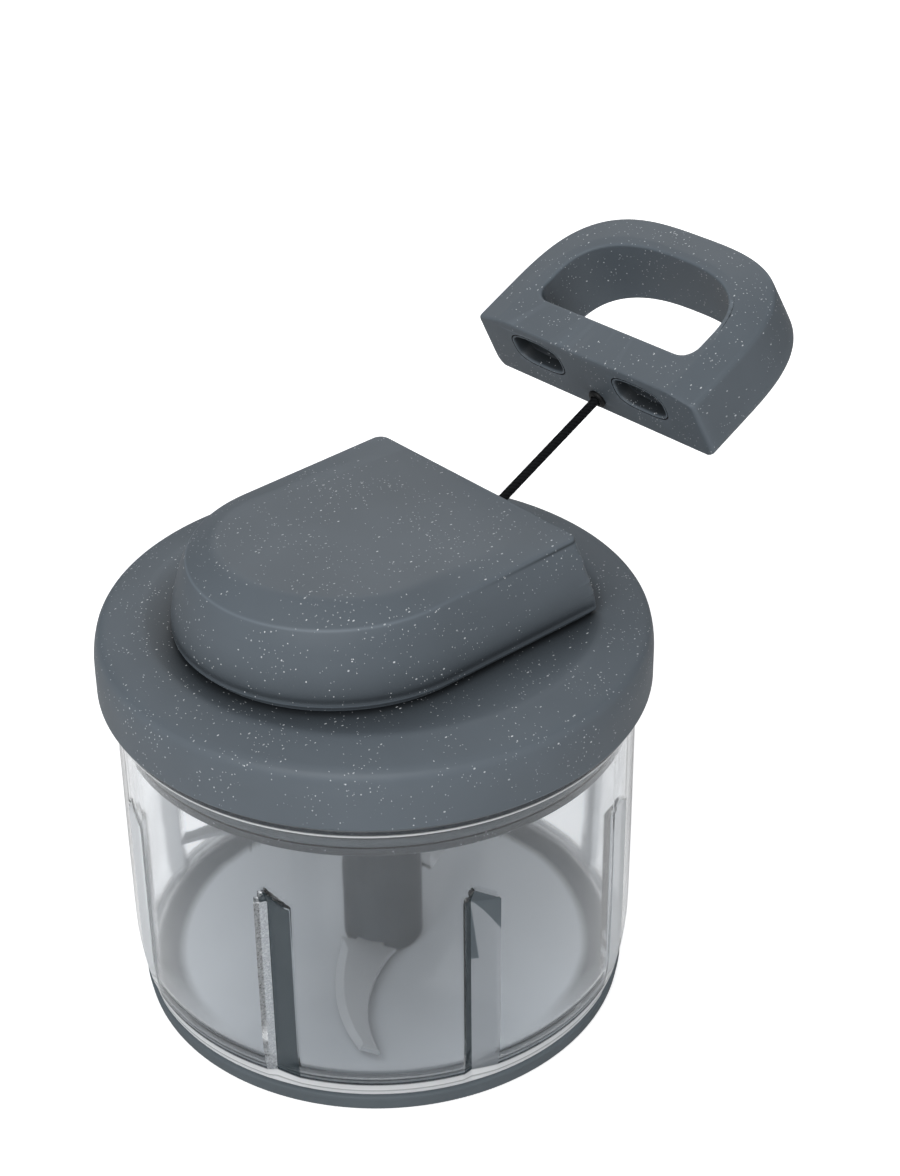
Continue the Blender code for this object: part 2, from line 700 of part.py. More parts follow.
def dock_boss(name, side):
    """A low oval boss on the end face, on which the handle's recess comes to rest."""
    half_length = OVAL_HALF_LENGTH - DOCK_BOSS_FIT
    half_height = OVAL_HALF_HEIGHT - DOCK_BOSS_FIT
    rise = DOCK_BOSS_HEIGHT - HOUSING_BASE
    lean = Matrix.Rotation(-HOUSING_END_LEAN, 4, "Y")
    seat = Vector((end_x_at(rise), side * OVAL_OFFSET, DOCK_BOSS_HEIGHT))
    loops = []
    for depth in (-HOUSING_WALL / 2, DOCK_BOSS_REACH):
        loops.append([seat + lean @ point for point in oval(half_length, half_height, 0.0, 0.0, depth)])
    return place(name, skin(loops), None)


def make_frame(name, place_at, pitch):
    """An empty whose X axis points up by the pitch from the pull direction."""
    frame = bpy.data.objects.new(name, None)
    bpy.context.scene.collection.objects.link(frame)
    frame.location = place_at
    frame.rotation_euler = (0.0, -pitch, 0.0)
    return frame


def guide_point():
    """Where the cord's line crosses the end face."""
    return Vector((end_x_at(CORD_HEIGHT - HOUSING_BASE), 0.0, CORD_HEIGHT))


def handle_point():
    """Where the cord enters the handle's front face."""
    start = guide_point()
    return start + Vector((CORD_OUT * cos(CORD_RISE), 0.0, CORD_OUT * sin(CORD_RISE)))


def make_cord_guide():
    """A flanged bush with a bell mouth at both ends, so that the cord bends without an edge."""
    inner_end = -GUIDE_INNER_LENGTH - HOUSING_WALL
    profile = [
        (GUIDE_BODY, inner_end),
        (GUIDE_BODY, SEAT_GAP),
        (GUIDE_FLANGE_RADIUS, SEAT_GAP),
        (GUIDE_FLANGE_RADIUS, SEAT_GAP + GUIDE_FLANGE),
        (GUIDE_MOUTH, SEAT_GAP + GUIDE_FLANGE),
    ]
    middle = (inner_end + SEAT_GAP + GUIDE_FLANGE) / 2
    half = (SEAT_GAP + GUIDE_FLANGE - inner_end) / 2
    for i in range(1, GUIDE_MOUTH_STEPS):
        along = 1 - 2 * i / GUIDE_MOUTH_STEPS
        profile.append((GUIDE_THROAT + (GUIDE_MOUTH - GUIDE_THROAT) * along ** 2, middle + half * along))
    profile.append((GUIDE_MOUTH, inner_end))
    turned("cord_guide", profile, "guide_plastic", SMALL_SIDES, ring=True, parent=guide_frame)


def make_mechanism_cover():
    outer = BOWL_INNER_RADIUS - SKIRT_CLEARANCE - SKIRT_WALL - RUNNING_GAP
    top = COVER_BOTTOM + COVER_THICKNESS
    bore = DRIVE_SHAFT_RADIUS + RUNNING_GAP + BUSH_WALL + SEAT_GAP
    profile = [
        (outer, COVER_BOTTOM),
        (outer, top),
        (COVER_TUBE_RADIUS, top),
        (COVER_TUBE_RADIUS, COVER_TUBE_TOP),
        (bore, COVER_TUBE_TOP),
        (bore, COVER_BOTTOM),
        (bore, COVER_BOTTOM - COVER_COLLAR_DROP),
        (COVER_COLLAR_RADIUS - COVER_COLLAR_DROP, COVER_BOTTOM - COVER_COLLAR_DROP),
        (COVER_COLLAR_RADIUS, COVER_BOTTOM),
    ]
    cover = turned("mechanism_cover", profile, "inner_plastic", MIDDLE_SIDES, ring=True)
    sink = SCREW_HEAD_HEIGHT / 2
    for number, (x, y) in enumerate(cover_post_places(), 1):
        hole = screw_hole(f"cover_hole_{number}", x, y, COVER_BOTTOM - CUT_OVERRUN, COVER_BOTTOM + sink,
                          top + CUT_OVERRUN)
        combine(cover, hole, "DIFFERENCE")


def make_hub_bush():
    inner = DRIVE_SHAFT_RADIUS + RUNNING_GAP
    outer = inner + BUSH_WALL
    bottom = COVER_BOTTOM - COVER_COLLAR_DROP
    profile = [
        (inner, bottom),
        (outer, bottom),
        (outer, COVER_TUBE_TOP + SEAT_GAP),
        (COVER_TUBE_RADIUS, COVER_TUBE_TOP + SEAT_GAP),
        (COVER_TUBE_RADIUS, COVER_TUBE_TOP + SEAT_GAP + BUSH_FLANGE),
        (inner, COVER_TUBE_TOP + SEAT_GAP + BUSH_FLANGE),
    ]
    turned("hub_bush", profile, "bush_brass", SMALL_SIDES, ring=True)


def make_screw(name, x, y, head_top, length, parent=None):
    """A pan head screw pointing up, with a socket in its head."""
    shank_top = head_top + length
    bottom = head_top - SCREW_HEAD_HEIGHT
    spot = (x, y)
    loops = [
        circle(SCREW_DRIVE_RADIUS, bottom + SCREW_DRIVE_DEPTH, SCREW_SIDES, spot),
        circle(SCREW_DRIVE_RADIUS, bottom, SCREW_SIDES, spot),
        circle(SCREW_HEAD_RADIUS, bottom, SCREW_SIDES, spot),
        circle(SCREW_HEAD_RADIUS, head_top, SCREW_SIDES, spot),
        circle(SCREW_RADIUS, head_top, SCREW_SIDES, spot),
        circle(SCREW_RADIUS, shank_top, SCREW_SIDES, spot),
    ]
    place(name, skin(loops), "spring_steel", parent)


def make_screws():
    sunk = COVER_BOTTOM + SCREW_HEAD_HEIGHT / 2 - SEAT_GAP
    for number, (x, y) in enumerate(cover_post_places(), 1):
        make_screw(f"cover_screw_{number}", x, y, sunk, SCREW_LENGTH)
    under_deck = DECK_HEIGHT - DECK_THICKNESS - SEAT_GAP
    for number, (x, y) in enumerate(housing_post_places(), 1):
        make_screw(f"housing_screw_{number}", x, y, under_deck, SCREW_LENGTH)


# Levels of the spool, from its lower flange up
GROOVE_BOTTOM = SPOOL_BOTTOM + SPOOL_FLANGE
GROOVE_TOP = GROOVE_BOTTOM + SPOOL_GROOVE
CUP_FLOOR = GROOVE_TOP + SPOOL_FLANGE
CUP_TOP = CUP_FLOOR + SPRING_CUP_HEIGHT


def make_spool_axle():
    bottom = HUB_CUP_BOTTOM + HUB_CUP_FLOOR - AXLE_SOCKET_DEPTH + SEAT_GAP
    edge = AXLE_RADIUS / 4
    profile = [
        (AXLE_RADIUS - edge, bottom),
        (AXLE_RADIUS, bottom + edge),
        (AXLE_RADIUS, axle_top() - edge),
        (AXLE_RADIUS - edge, axle_top()),
    ]
    turned("spool_axle", profile, "spring_steel", SCREW_SIDES)


def make_cord_spool():
    bore = AXLE_RADIUS + RUNNING_GAP
    profile = [
        (bore, SPOOL_BOTTOM),
        (SPOOL_RADIUS, SPOOL_BOTTOM),
        (SPOOL_RADIUS, GROOVE_BOTTOM),
        (SPOOL_CORE_RADIUS, GROOVE_BOTTOM),
        (SPOOL_CORE_RADIUS, GROOVE_TOP),
        (SPOOL_RADIUS, GROOVE_TOP),
        (SPOOL_RADIUS, CUP_TOP),
        (SPOOL_RADIUS - SPRING_CUP_WALL, CUP_TOP),
        (SPOOL_RADIUS - SPRING_CUP_WALL, CUP_FLOOR),
        (bore, CUP_FLOOR),
    ]
    spool = turned("cord_spool", profile, "inner_plastic", MIDDLE_SIDES, ring=True)
    for i in range(PAWL_COUNT):
        x, y = pawl_pin(i)
        pin = rod(f"pawl_pin_{i + 1}", PAWL_PIN_RADIUS, pawl_bottom(), SPOOL_BOTTOM + SPOOL_FLANGE / 2,
                  SCREW_SIDES, (x, y))
        combine(spool, pin, "UNION")


def make_cord_winding():
    """The wound cord under its leaving turn, as one rounded ring."""
    inner = SPOOL_CORE_RADIUS + SEAT_GAP
    middle = (GROOVE_BOTTOM + GROOVE_TOP) / 2
    half = SPOOL_GROOVE / 2 - SEAT_GAP
    bulge = CORD_RADIUS / 2
    profile = [
        (inner, middle - half),
        (WINDING_RADIUS - bulge, middle - half),
        (WINDING_RADIUS, middle - half / 2),
        (WINDING_RADIUS, middle + half / 2),
        (WINDING_RADIUS - bulge, middle + half),
        (inner, middle + half),
    ]
    turned("cord_winding", profile, "cord_black", MIDDLE_SIDES, ring=True)


def make_recoil_spring():
    """A flat spiral strip in the spool's cup, hooked at the axle and lying on the cup's wall."""
    start = AXLE_RADIUS + SEAT_GAP + SPRING_THICKNESS / 2
    end = SPOOL_RADIUS - SPRING_CUP_WALL - RUNNING_GAP - SPRING_THICKNESS / 2
    bottom = CUP_FLOOR + SEAT_GAP
    top = CUP_TOP - SEAT_GAP
    steps = SPRING_TURNS * SPRING_STEPS_PER_TURN
    loops = []
    for i in range(steps + 1):
        share = i / steps
        angle = 2 * pi * SPRING_TURNS * share
        reach = start + (end - start) * share
        inner = reach - SPRING_THICKNESS / 2
        outer = reach + SPRING_THICKNESS / 2
        c, s = cos(angle), sin(angle)
        loops.append([
            Vector((inner * c, inner * s, bottom)),
            Vector((outer * c, outer * s, bottom)),
            Vector((outer * c, outer * s, top)),
            Vector((inner * c, inner * s, top)),
        ])
    place("recoil_spring", skin(loops), "spring_steel")


def ratchet_loop(height):
    """The cup's inner outline: one-way teeth, each a slow ramp and a steep step."""
    tip = HUB_CUP_RADIUS - HUB_CUP_WALL - RATCHET_DEPTH
    points = []
    steps = RATCHET_TEETH * RATCHET_STEPS
    for i in range(steps):
        angle = 2 * pi * i / steps
        share = (i % RATCHET_STEPS) / (RATCHET_STEPS - 1)
        reach = tip + RATCHET_DEPTH * (1 - share)
        points.append(Vector((reach * cos(angle), reach * sin(angle), height)))
    return points


def make_drive_hub():
    """Ratchet cup above, shaft through the bush, and the hexagon that turns the blade column."""
    sides = RATCHET_TEETH * RATCHET_STEPS
    top = SPOOL_BOTTOM - RUNNING_GAP
    floor = HUB_CUP_BOTTOM + HUB_CUP_FLOOR
    hex_top = COVER_BOTTOM - COVER_COLLAR_DROP - SEAT_GAP
    socket = AXLE_RADIUS + RUNNING_GAP
    loops = [
        polygon(DRIVE_HEX_RADIUS, DRIVE_HEX_BOTTOM, HEX_SIDES, sides),
        polygon(DRIVE_HEX_RADIUS, hex_top, HEX_SIDES, sides),
        circle(DRIVE_SHAFT_RADIUS, hex_top, sides),
        circle(DRIVE_SHAFT_RADIUS, HUB_CUP_BOTTOM, sides),
        circle(HUB_CUP_RADIUS, HUB_CUP_BOTTOM, sides),
        circle(HUB_CUP_RADIUS, top, sides),
        ratchet_loop(top),
        ratchet_loop(floor),
        circle(socket, floor, sides),
        circle(socket, floor - AXLE_SOCKET_DEPTH, sides),
    ]
    place("drive_hub", skin(loops), "inner_plastic")


def pawl_bottom():
    return HUB_CUP_BOTTOM + HUB_CUP_FLOOR + RUNNING_GAP


def pawl_pin(index):
    angle = 2 * pi * index / PAWL_COUNT
    return PAWL_PIN_REACH * cos(angle), PAWL_PIN_REACH * sin(angle)


def make_pawls():
    """Arms on the spool's pins that point along the pull's turn, each tip in a ratchet pocket."""
    tooth_tip = HUB_CUP_RADIUS - HUB_CUP_WALL - RATCHET_DEPTH
    reach = tooth_tip
    bottom = pawl_bottom()
    top = SPOOL_BOTTOM - SEAT_GAP
    for i in range(PAWL_COUNT):
        x, y = pawl_pin(i)
        turn = 2 * pi * i / PAWL_COUNT
        tip_angle = turn - 2 * pi / RATCHET_TEETH + PAWL_TIP_WIDTH / reach
        tip = Vector((reach * cos(tip_angle), reach * sin(tip_angle)))
        eye = Vector((x, y))
        along = (tip - eye).normalized()
        across = Vector((-along.y, along.x))
        outline = []
        for k in range(SCREW_SIDES - 3):
            angle = pi / 2 + pi * k / (SCREW_SIDES - 4)
            outline.append(eye + PAWL_EYE_RADIUS * (along * cos(angle) + across * sin(angle)))
        outline.append(tip - across * PAWL_TIP_WIDTH / 2)
        outline.append(tip + along * PAWL_TIP_WIDTH / 2)
        outline.append(tip + across * PAWL_TIP_WIDTH / 2)
        loops = [[Vector((p.x, p.y, z)) for p in outline] for z in (bottom, top)]
        pawl = place(f"clutch_pawl_{i + 1}", skin(loops), "bush_brass")
        hole = rod(f"pawl_eye_{i + 1}", PAWL_PIN_RADIUS + SEAT_GAP, bottom - CUT_OVERRUN, top + CUT_OVERRUN,
                   SCREW_SIDES, (x, y))
        combine(pawl, hole, "DIFFERENCE")


def blade_outline(grow=0.0):
    """A swept blade pointing along +X: tongue, straight back edge and curved cutting edge."""
    root = COLUMN_RADIUS + SEAT_GAP
    tongue = BLADE_TONGUE_WIDTH / 2 + grow
    start = root - BLADE_TONGUE_LENGTH - grow
    back, front = [], []
    for i in range(BLADE_STEPS + 1):
        share = i / BLADE_STEPS
        x = root + (BLADE_REACH - root) * share
        middle = BLADE_SWEEP * share ** 2
        width = BLADE_ROOT_WIDTH + (BLADE_TIP_WIDTH - BLADE_ROOT_WIDTH) * share ** (2 / 3)
        x -= BLADE_SWEEP * share ** 3 / 3
        back.append(Vector((x, middle + width / 2)))
        front.append(Vector((x, middle - width / 2)))
    return start, tongue, back, front


def make_blade(name):
    height = BLADE_HEIGHTS[name]
    turn = Matrix.Rotation(BLADE_ANGLES[name], 4, "Z")
    start, tongue, back, front = blade_outline()
    root_x = front[0].x
    lower = [Vector((start, tongue)), Vector((start, -tongue)), Vector((root_x, -tongue))]
    upper = list(lower)
    for i, point in enumerate(front):
        inset = Vector((0.0, BLADE_BEVEL)) if i else Vector((0.0, BLADE_BEVEL / 2))
        lower.append(point)
        upper.append(point + inset)
    for point in reversed(back):
        lower.append(point)
        upper.append(point)
    lower.append(Vector((root_x, tongue)))
    upper.append(Vector((root_x, tongue)))
    loops = []
    for outline, z in ((lower, height), (upper, height + BLADE_THICKNESS)):
        loops.append([turn @ Vector((p.x, p.y, z)) for p in outline])
    place(name, skin(loops), "blade_steel")


def make_blade_hub():
    """The column that carries the blades: pin bore below, hexagon socket on top, a slot per blade."""
    bottom = FLOOR_TOP + SEAT_GAP
    bore = PIN_RADIUS + RUNNING_GAP
    bore_top = FLOOR_TOP + PIN_LENGTH + RUNNING_GAP
    socket = DRIVE_HEX_RADIUS + RUNNING_GAP
    loops = [
        circle(bore, bore_top, HUB_STEPS),
        circle(bore, bottom, HUB_STEPS),
        circle(COLUMN_RADIUS - COLUMN_EDGE, bottom, HUB_STEPS),
        circle(COLUMN_RADIUS, bottom + COLUMN_EDGE, HUB_STEPS),
        circle(COLUMN_RADIUS, COLUMN_SHOULDER_HEIGHT, HUB_STEPS),
        circle(COLUMN_TOP_RADIUS, COLUMN_TOP - COLUMN_EDGE, HUB_STEPS),
        circle(COLUMN_TOP_RADIUS - COLUMN_EDGE, COLUMN_TOP, HUB_STEPS),
        polygon(socket, COLUMN_TOP, HEX_SIDES, HUB_STEPS),
        polygon(socket, COLUMN_TOP - COLUMN_SOCKET_DEPTH, HEX_SIDES, HUB_STEPS),
    ]
    hub = place("blade_hub", skin(loops), "inner_plastic")
    start, tongue, back, front = blade_outline(SEAT_GAP)
    for name, height in BLADE_HEIGHTS.items():
        turn = Matrix.Rotation(BLADE_ANGLES[name], 4, "Z")
        reach = COLUMN_RADIUS + CUT_OVERRUN
        corners = [(start, -tongue), (reach, -tongue), (reach, tongue), (start, tongue)]
        loops = []
        for z in (height - SEAT_GAP, height + BLADE_THICKNESS + SEAT_GAP):
            loops.append([turn @ Vector((x, y, z)) for x, y in corners])
        combine(hub, place(f"{name}_slot", skin(loops), None), "DIFFERENCE")


def handle_outline(half_width, depth, height, front=0.0, curve_start=HANDLE_CURVE_START,
                   corner=HANDLE_CORNER, power=HANDLE_CURVE_POWER_SHARE):
    """A D seen from above: straight front, rounded corners, short sides and a squarish rear curve."""
    half = []
    for i in range(HANDLE_FRONT_SPANS):
        half.append((front, (half_width - corner) * i / HANDLE_FRONT_SPANS))
    for i in range(HANDLE_CORNER_SPANS + 1):
        angle = pi / 2 * i / HANDLE_CORNER_SPANS
        half.append((front + corner - corner * cos(angle), half_width - corner + corner * sin(angle)))
    for i in range(1, HANDLE_SIDE_SPANS):
        share = i / HANDLE_SIDE_SPANS
        half.append((front + corner + (curve_start - front - corner) * share, half_width))
    for i in range(HANDLE_CURVE_SPANS + 1):
        angle = pi / 2 * i / HANDLE_CURVE_SPANS
        x = curve_start + (depth - curve_start) * abs(sin(angle)) ** (2 / power)
        half.append((x, half_width * max(cos(angle), 0.0) ** (2 / power)))
    half[-1] = (depth, 0.0)
    mirrored = [(x, -y) for x, y in reversed(half[1:-1])]
    return [Vector((x, y, height)) for x, y in half + mirrored]


def hole_outline(grow, height):
    """The finger hole: the same kind of D, grown or shrunk evenly."""
    return handle_outline(HOLE_HALF_WIDTH + grow, HOLE_REAR + grow, height, HOLE_FRONT - grow,
                          HOLE_CURVE_START, HOLE_CORNER, HOLE_CURVE_POWER_SHARE)


def make_handle_upper():
    """The whole D-ring, with a pocket in its underside for the lower cover."""
    band = HANDLE_TOP - HANDLE_BAND_DROP
    low = HANDLE_HALF_WIDTH + HANDLE_FLARE
    low_depth = HANDLE_DEPTH + HANDLE_FLARE
    pocket_roof = HANDLE_BOTTOM + POCKET_DEPTH
    rim = HOLE_RIM / 2 + POCKET_WALL
    outer = []
    for i in range(HANDLE_EDGE_SPANS + 1):
        angle = pi / 2 * i / HANDLE_EDGE_SPANS
        inset = HANDLE_BOTTOM_EDGE * (1 - sin(angle))
        rise = HANDLE_BOTTOM_RISE * (1 - cos(angle))
        outer.append(handle_outline(low - inset, low_depth - inset, HANDLE_BOTTOM + rise))
    outer += [
        handle_outline(HANDLE_HALF_WIDTH, HANDLE_DEPTH, band - HANDLE_TOP_EDGE),
        handle_outline(HANDLE_HALF_WIDTH - HANDLE_TOP_EDGE / 2, HANDLE_DEPTH - HANDLE_TOP_EDGE / 2, band),
        handle_outline(HANDLE_HALF_WIDTH - HANDLE_BAND_WIDTH, HANDLE_DEPTH - HANDLE_BAND_WIDTH, HANDLE_TOP),
    ]
    inner = [
        hole_outline(HOLE_RIM, HANDLE_TOP),
        hole_outline(0.0, HANDLE_TOP - HOLE_RIM),
        hole_outline(0.0, HANDLE_BOTTOM + HOLE_RIM),
        hole_outline(HOLE_RIM / 2, HANDLE_BOTTOM),
    ]
    pocket = [
        hole_outline(rim, HANDLE_BOTTOM),
        hole_outline(rim, pocket_roof),
        pocket_outline(0.0, pocket_roof),
        pocket_outline(0.0, HANDLE_BOTTOM),
    ]
    handle = place("handle_upper", skin(outer + inner + pocket, ring=True), "body_plastic", handle_frame)
    for side, word in ((1, "left"), (-1, "right")):
        loops = [
            oval(OVAL_HALF_LENGTH, OVAL_HALF_HEIGHT, side * OVAL_OFFSET, OVAL_HEIGHT, -CUT_OVERRUN),
            oval(OVAL_HALF_LENGTH, OVAL_HALF_HEIGHT, side * OVAL_OFFSET, OVAL_HEIGHT, 0.0),
            oval(OVAL_HALF_LENGTH - OVAL_DEPTH / 4, OVAL_HALF_HEIGHT - OVAL_DEPTH / 4, side * OVAL_OFFSET,
                 OVAL_HEIGHT, OVAL_DEPTH),
        ]
        combine(handle, place(f"oval_cut_{word}", skin(loops), None, handle_frame), "DIFFERENCE")
    sleeve = CORD_RADIUS + SEAT_GAP + COLLAR_SLEEVE_WALL + SEAT_GAP
    cord_hole = along_x("cord_hole_cut", sleeve, -CUT_OVERRUN, COLLAR_SLEEVE + SEAT_GAP)
    combine(handle, cord_hole, "DIFFERENCE")
    cord_way = along_x("cord_way_cut", CORD_RADIUS + SEAT_GAP, 0.0, KNOT_REACH)
    combine(handle, cord_way, "DIFFERENCE")
    open_pocket = HANDLE_BOTTOM + POCKET_DEPTH / 2
    knot_cut = rod("knot_pocket_cut", KNOT_RADIUS + KNOT_POCKET_GAP, open_pocket,
                   KNOT_RADIUS + KNOT_POCKET_GAP, SCREW_SIDES, (KNOT_REACH, 0.0))
    knot_cut.parent = handle_frame
    combine(handle, knot_cut, "DIFFERENCE")
    for number, (x, y) in enumerate(handle_screw_places(), 1):
        pilot = rod(f"handle_pilot_{number}", SCREW_RADIUS + SEAT_GAP, open_pocket,
                    pocket_roof + SCREW_PILOT_DEPTH, SCREW_SIDES, (x, y))
        pilot.parent = handle_frame
        combine(handle, pilot, "DIFFERENCE")


def pocket_outline(inset, height):
    """The pocket's outer edge, set in from the handle's underside by the pocket's wall."""
    low = HANDLE_HALF_WIDTH + HANDLE_FLARE - HANDLE_BOTTOM_EDGE - POCKET_WALL - inset
    depth = HANDLE_DEPTH + HANDLE_FLARE - HANDLE_BOTTOM_EDGE - POCKET_WALL - inset
    return handle_outline(low, depth, height, POCKET_FRONT_WALL + inset)


def along_x(name, radius, start, end):
    """A round cutter along the handle's own X axis."""
    loops = []
    for x in (start, end):
        loops.append([
            Vector((x, radius * cos(2 * pi * i / SMALL_SIDES), radius * sin(2 * pi * i / SMALL_SIDES)))
            for i in range(SMALL_SIDES)
        ])
    return place(name, skin(loops), None, handle_frame)


def handle_screw_places():
    return [(HANDLE_SCREW_REACH, HANDLE_SCREW_SPREAD), (HANDLE_SCREW_REACH, -HANDLE_SCREW_SPREAD)]


def make_handle_lower():
    """The ring-shaped cover that closes the handle's underside, flush with it."""
    top = HANDLE_BOTTOM + POCKET_DEPTH - SEAT_GAP
    grow = HOLE_RIM / 2 + POCKET_WALL + SEAT_GAP
    loops = [
        pocket_outline(SEAT_GAP, HANDLE_BOTTOM),
        pocket_outline(SEAT_GAP, top),
        hole_outline(grow, top),
        hole_outline(grow, HANDLE_BOTTOM),
    ]
    lower = place("handle_lower", skin(loops, ring=True), "body_plastic", handle_frame)
    for number, (x, y) in enumerate(handle_screw_places(), 1):
        hole = screw_hole(f"handle_hole_{number}", x, y, HANDLE_BOTTOM - CUT_OVERRUN,
                          HANDLE_BOTTOM + SCREW_HEAD_HEIGHT, top + CUT_OVERRUN, handle_frame)
        combine(lower, hole, "DIFFERENCE")
        make_screw(f"handle_screw_{number}", x, y, HANDLE_BOTTOM + SCREW_HEAD_HEIGHT - SEAT_GAP,
                   SCREW_LENGTH, handle_frame)


def make_cord_collar():
    """The small flanged ring that lines the cord's hole in the handle's face."""
    inner = CORD_RADIUS + SEAT_GAP
    sleeve = inner + COLLAR_SLEEVE_WALL
    profile = [
        (-SEAT_GAP - COLLAR_FLANGE, inner),
        (-SEAT_GAP - COLLAR_FLANGE, COLLAR_RADIUS - COLLAR_FLANGE / 2),
        (-SEAT_GAP, COLLAR_RADIUS),
        (-SEAT_GAP, sleeve),
        (COLLAR_SLEEVE, sleeve),
        (COLLAR_SLEEVE, inner),
    ]
    loops = []
    for x, radius in profile:
        loops.append([
            Vector((x, radius * cos(2 * pi * i / SMALL_SIDES), radius * sin(2 * pi * i / SMALL_SIDES)))
            for i in range(SMALL_SIDES)
        ])
    place("cord_collar", skin(loops, ring=True), "guide_plastic", handle_frame)


def make_cord_knot():
    """The knot that holds the cord in the handle: a small turned bead round the cord's end."""
    steps = 8
    profile = []
    for i in range(1, steps):
        angle = -pi / 2 + pi * i / steps
        profile.append((KNOT_REACH + KNOT_RADIUS * sin(angle), KNOT_RADIUS * cos(angle)))
    loops = []
    for x, radius in profile:
        loops.append([
            Vector((x, radius * cos(2 * pi * i / SCREW_SIDES), radius * sin(2 * pi * i / SCREW_SIDES)))
            for i in range(SCREW_SIDES)
        ])
    place("cord_knot", skin(loops), "cord_black", handle_frame)


def smooth_corner(before, corner, after, reach):
    """Points of a rounded corner, as a quadratic curve between its two tangent points."""
    start = corner + (before - corner).normalized() * reach
    end = corner + (after - corner).normalized() * reach
    points = []
    for i in range(5):
        share = i / 4
        points.append(start * (1 - share) ** 2 + corner * 2 * share * (1 - share) + end * share ** 2)
    return points


def cord_route():
    """Round the winding, straight to the guide, and up the pull line to the knot."""
    turn_radius = WINDING_RADIUS + SEAT_GAP + CORD_RADIUS
    lean = Vector((cos(HOUSING_END_LEAN), 0.0, sin(HOUSING_END_LEAN)))
    depth = (GUIDE_INNER_LENGTH + HOUSING_WALL) / 2
    bend = guide_point() - lean * depth
    bend.z = CORD_HEIGHT - depth * tan(CORD_RISE)
    level = bend.z
    tangent = atan2(bend.y, bend.x) + acos(turn_radius / sqrt(bend.x ** 2 + bend.y ** 2))
    points = []
    for i in range(5):
        angle = tangent + CORD_WRAP * (1 - i / 4)
        points.append(Vector((turn_radius * cos(angle), turn_radius * sin(angle), level)))
    last = points[-1]
    corner = smooth_corner(last, bend, handle_point(), CORD_BEND)
    points += straight(last, corner[0])
    points += corner
    end = handle_point() + Vector((cos(CORD_RISE), 0.0, sin(CORD_RISE))) * (KNOT_REACH - KNOT_RADIUS - SEAT_GAP)
    points += straight(corner[-1], end)
    points.append(end)
    return points


def straight(start, end):
    """Points strictly between two ends, a cord step apart."""
    count = max(int((end - start).length / CORD_STEP), 1)
    return [start.lerp(end, i / count) for i in range(1, count)]


def make_pull_cord():
    route = cord_route()
    curve = bpy.data.curves.new("pull_cord", "CURVE")
    curve.dimensions = "3D"
    curve.bevel_depth = CORD_RADIUS
    curve.bevel_resolution = CORD_SIDES_RESOLUTION
    curve.use_fill_caps = True
    spline = curve.splines.new("POLY")
    spline.points.add(len(route) - 1)
    for point, target in zip(spline.points, route):
        point.co = (*target, 1.0)
    curve.materials.append(finish("cord_black"))
    cord = bpy.data.objects.new("pull_cord", curve)
    bpy.context.scene.collection.objects.link(cord)


clear_scene()
guide_frame = make_frame("guide_frame", guide_point(), HOUSING_END_LEAN)
guide_frame.rotation_euler = (0.0, pi / 2 - HOUSING_END_LEAN, 0.0)
handle_frame = make_frame("handle_frame", handle_point(), CORD_RISE)
bpy.context.view_layer.update()
make_foot()
make_bowl()
make_blade_hub()
for blade_name in BLADE_HEIGHTS:
    make_blade(blade_name)
make_lid_body()
make_lid_seal()
make_mechanism_housing()
make_cord_guide()
make_mechanism_cover()
make_hub_bush()
make_screws()
make_spool_axle()
make_cord_spool()
make_cord_winding()
make_recoil_spring()
make_drive_hub()
make_pawls()
make_handle_upper()
make_handle_lower()
make_cord_collar()
make_cord_knot()
make_pull_cord()
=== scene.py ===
# The pull cord food chopper dressed for its picture, in the CAD's frame.
# Blender works in metres. Profiles and named sizes are in millimetres unless they say otherwise,
# and MM turns them into metres.
from math import acos, atan2, copysign, cos, pi, radians, sin, sqrt, tan

import bmesh
import bpy
from mathutils import Matrix, Vector


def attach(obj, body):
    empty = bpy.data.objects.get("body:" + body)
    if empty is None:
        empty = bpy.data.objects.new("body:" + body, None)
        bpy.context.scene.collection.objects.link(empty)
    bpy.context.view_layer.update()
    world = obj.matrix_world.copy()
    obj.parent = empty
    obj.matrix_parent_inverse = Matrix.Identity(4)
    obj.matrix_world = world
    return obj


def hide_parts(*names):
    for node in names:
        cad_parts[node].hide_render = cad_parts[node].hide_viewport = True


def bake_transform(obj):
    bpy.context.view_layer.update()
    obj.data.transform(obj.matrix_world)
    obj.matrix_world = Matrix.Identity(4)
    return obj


MM = 0.001

# Camera, as fitted to the photograph, in metres and radians; its lens and sensor in millimetres
CAMERA_DISTANCE = 0.48078
CAMERA_HEIGHT = 0.40266
CAMERA_TURN = radians(39.5)
CAMERA_PAN = 0.0382
CAMERA_TILT = 0.5472
CAMERA_ROLL = -0.0111
CAMERA_LENS = 71.97
SENSOR_WIDTH = 36.0

# Lamps: watts, azimuth and elevation in degrees. All are squares at one distance from the target,
# in metres.
LAMPS = {
    "key": (6.3, -147.0, 45.0),
    "back": (1.8, 60.0, 40.0),
    "far_side": (1.05, 20.0, 30.0),
    "low_right": (0.95, -55.0, 10.0),
    "low_left": (0.6, 140.0, 8.0),
}
LAMP_SIZE = 0.75
LAMP_DISTANCE = 0.9
LAMP_TARGET = (0.015, 0.0, 0.08)

# Facets
ROUND = 192
D_ARC = 96
D_SIDE = 14
D_END = 16
CORNER_STEPS = 8
COLUMN_SIDES = 96
FLOOR_SIDES = 64
SEGMENT_ANGLE = radians(28.0)


# Small geometry helpers

def mm(x, y, z):
    """A point given in millimetres."""
    return Vector((x, y, z)) * MM


def arc(x, y, radius, start, turn=pi / 2, steps=CORNER_STEPS):
    """Flat points on an arc about a point, from one angle through another."""
    angles = [start + turn * i / steps for i in range(steps + 1)]
    return [(x + radius * cos(angle), y + radius * sin(angle)) for angle in angles]


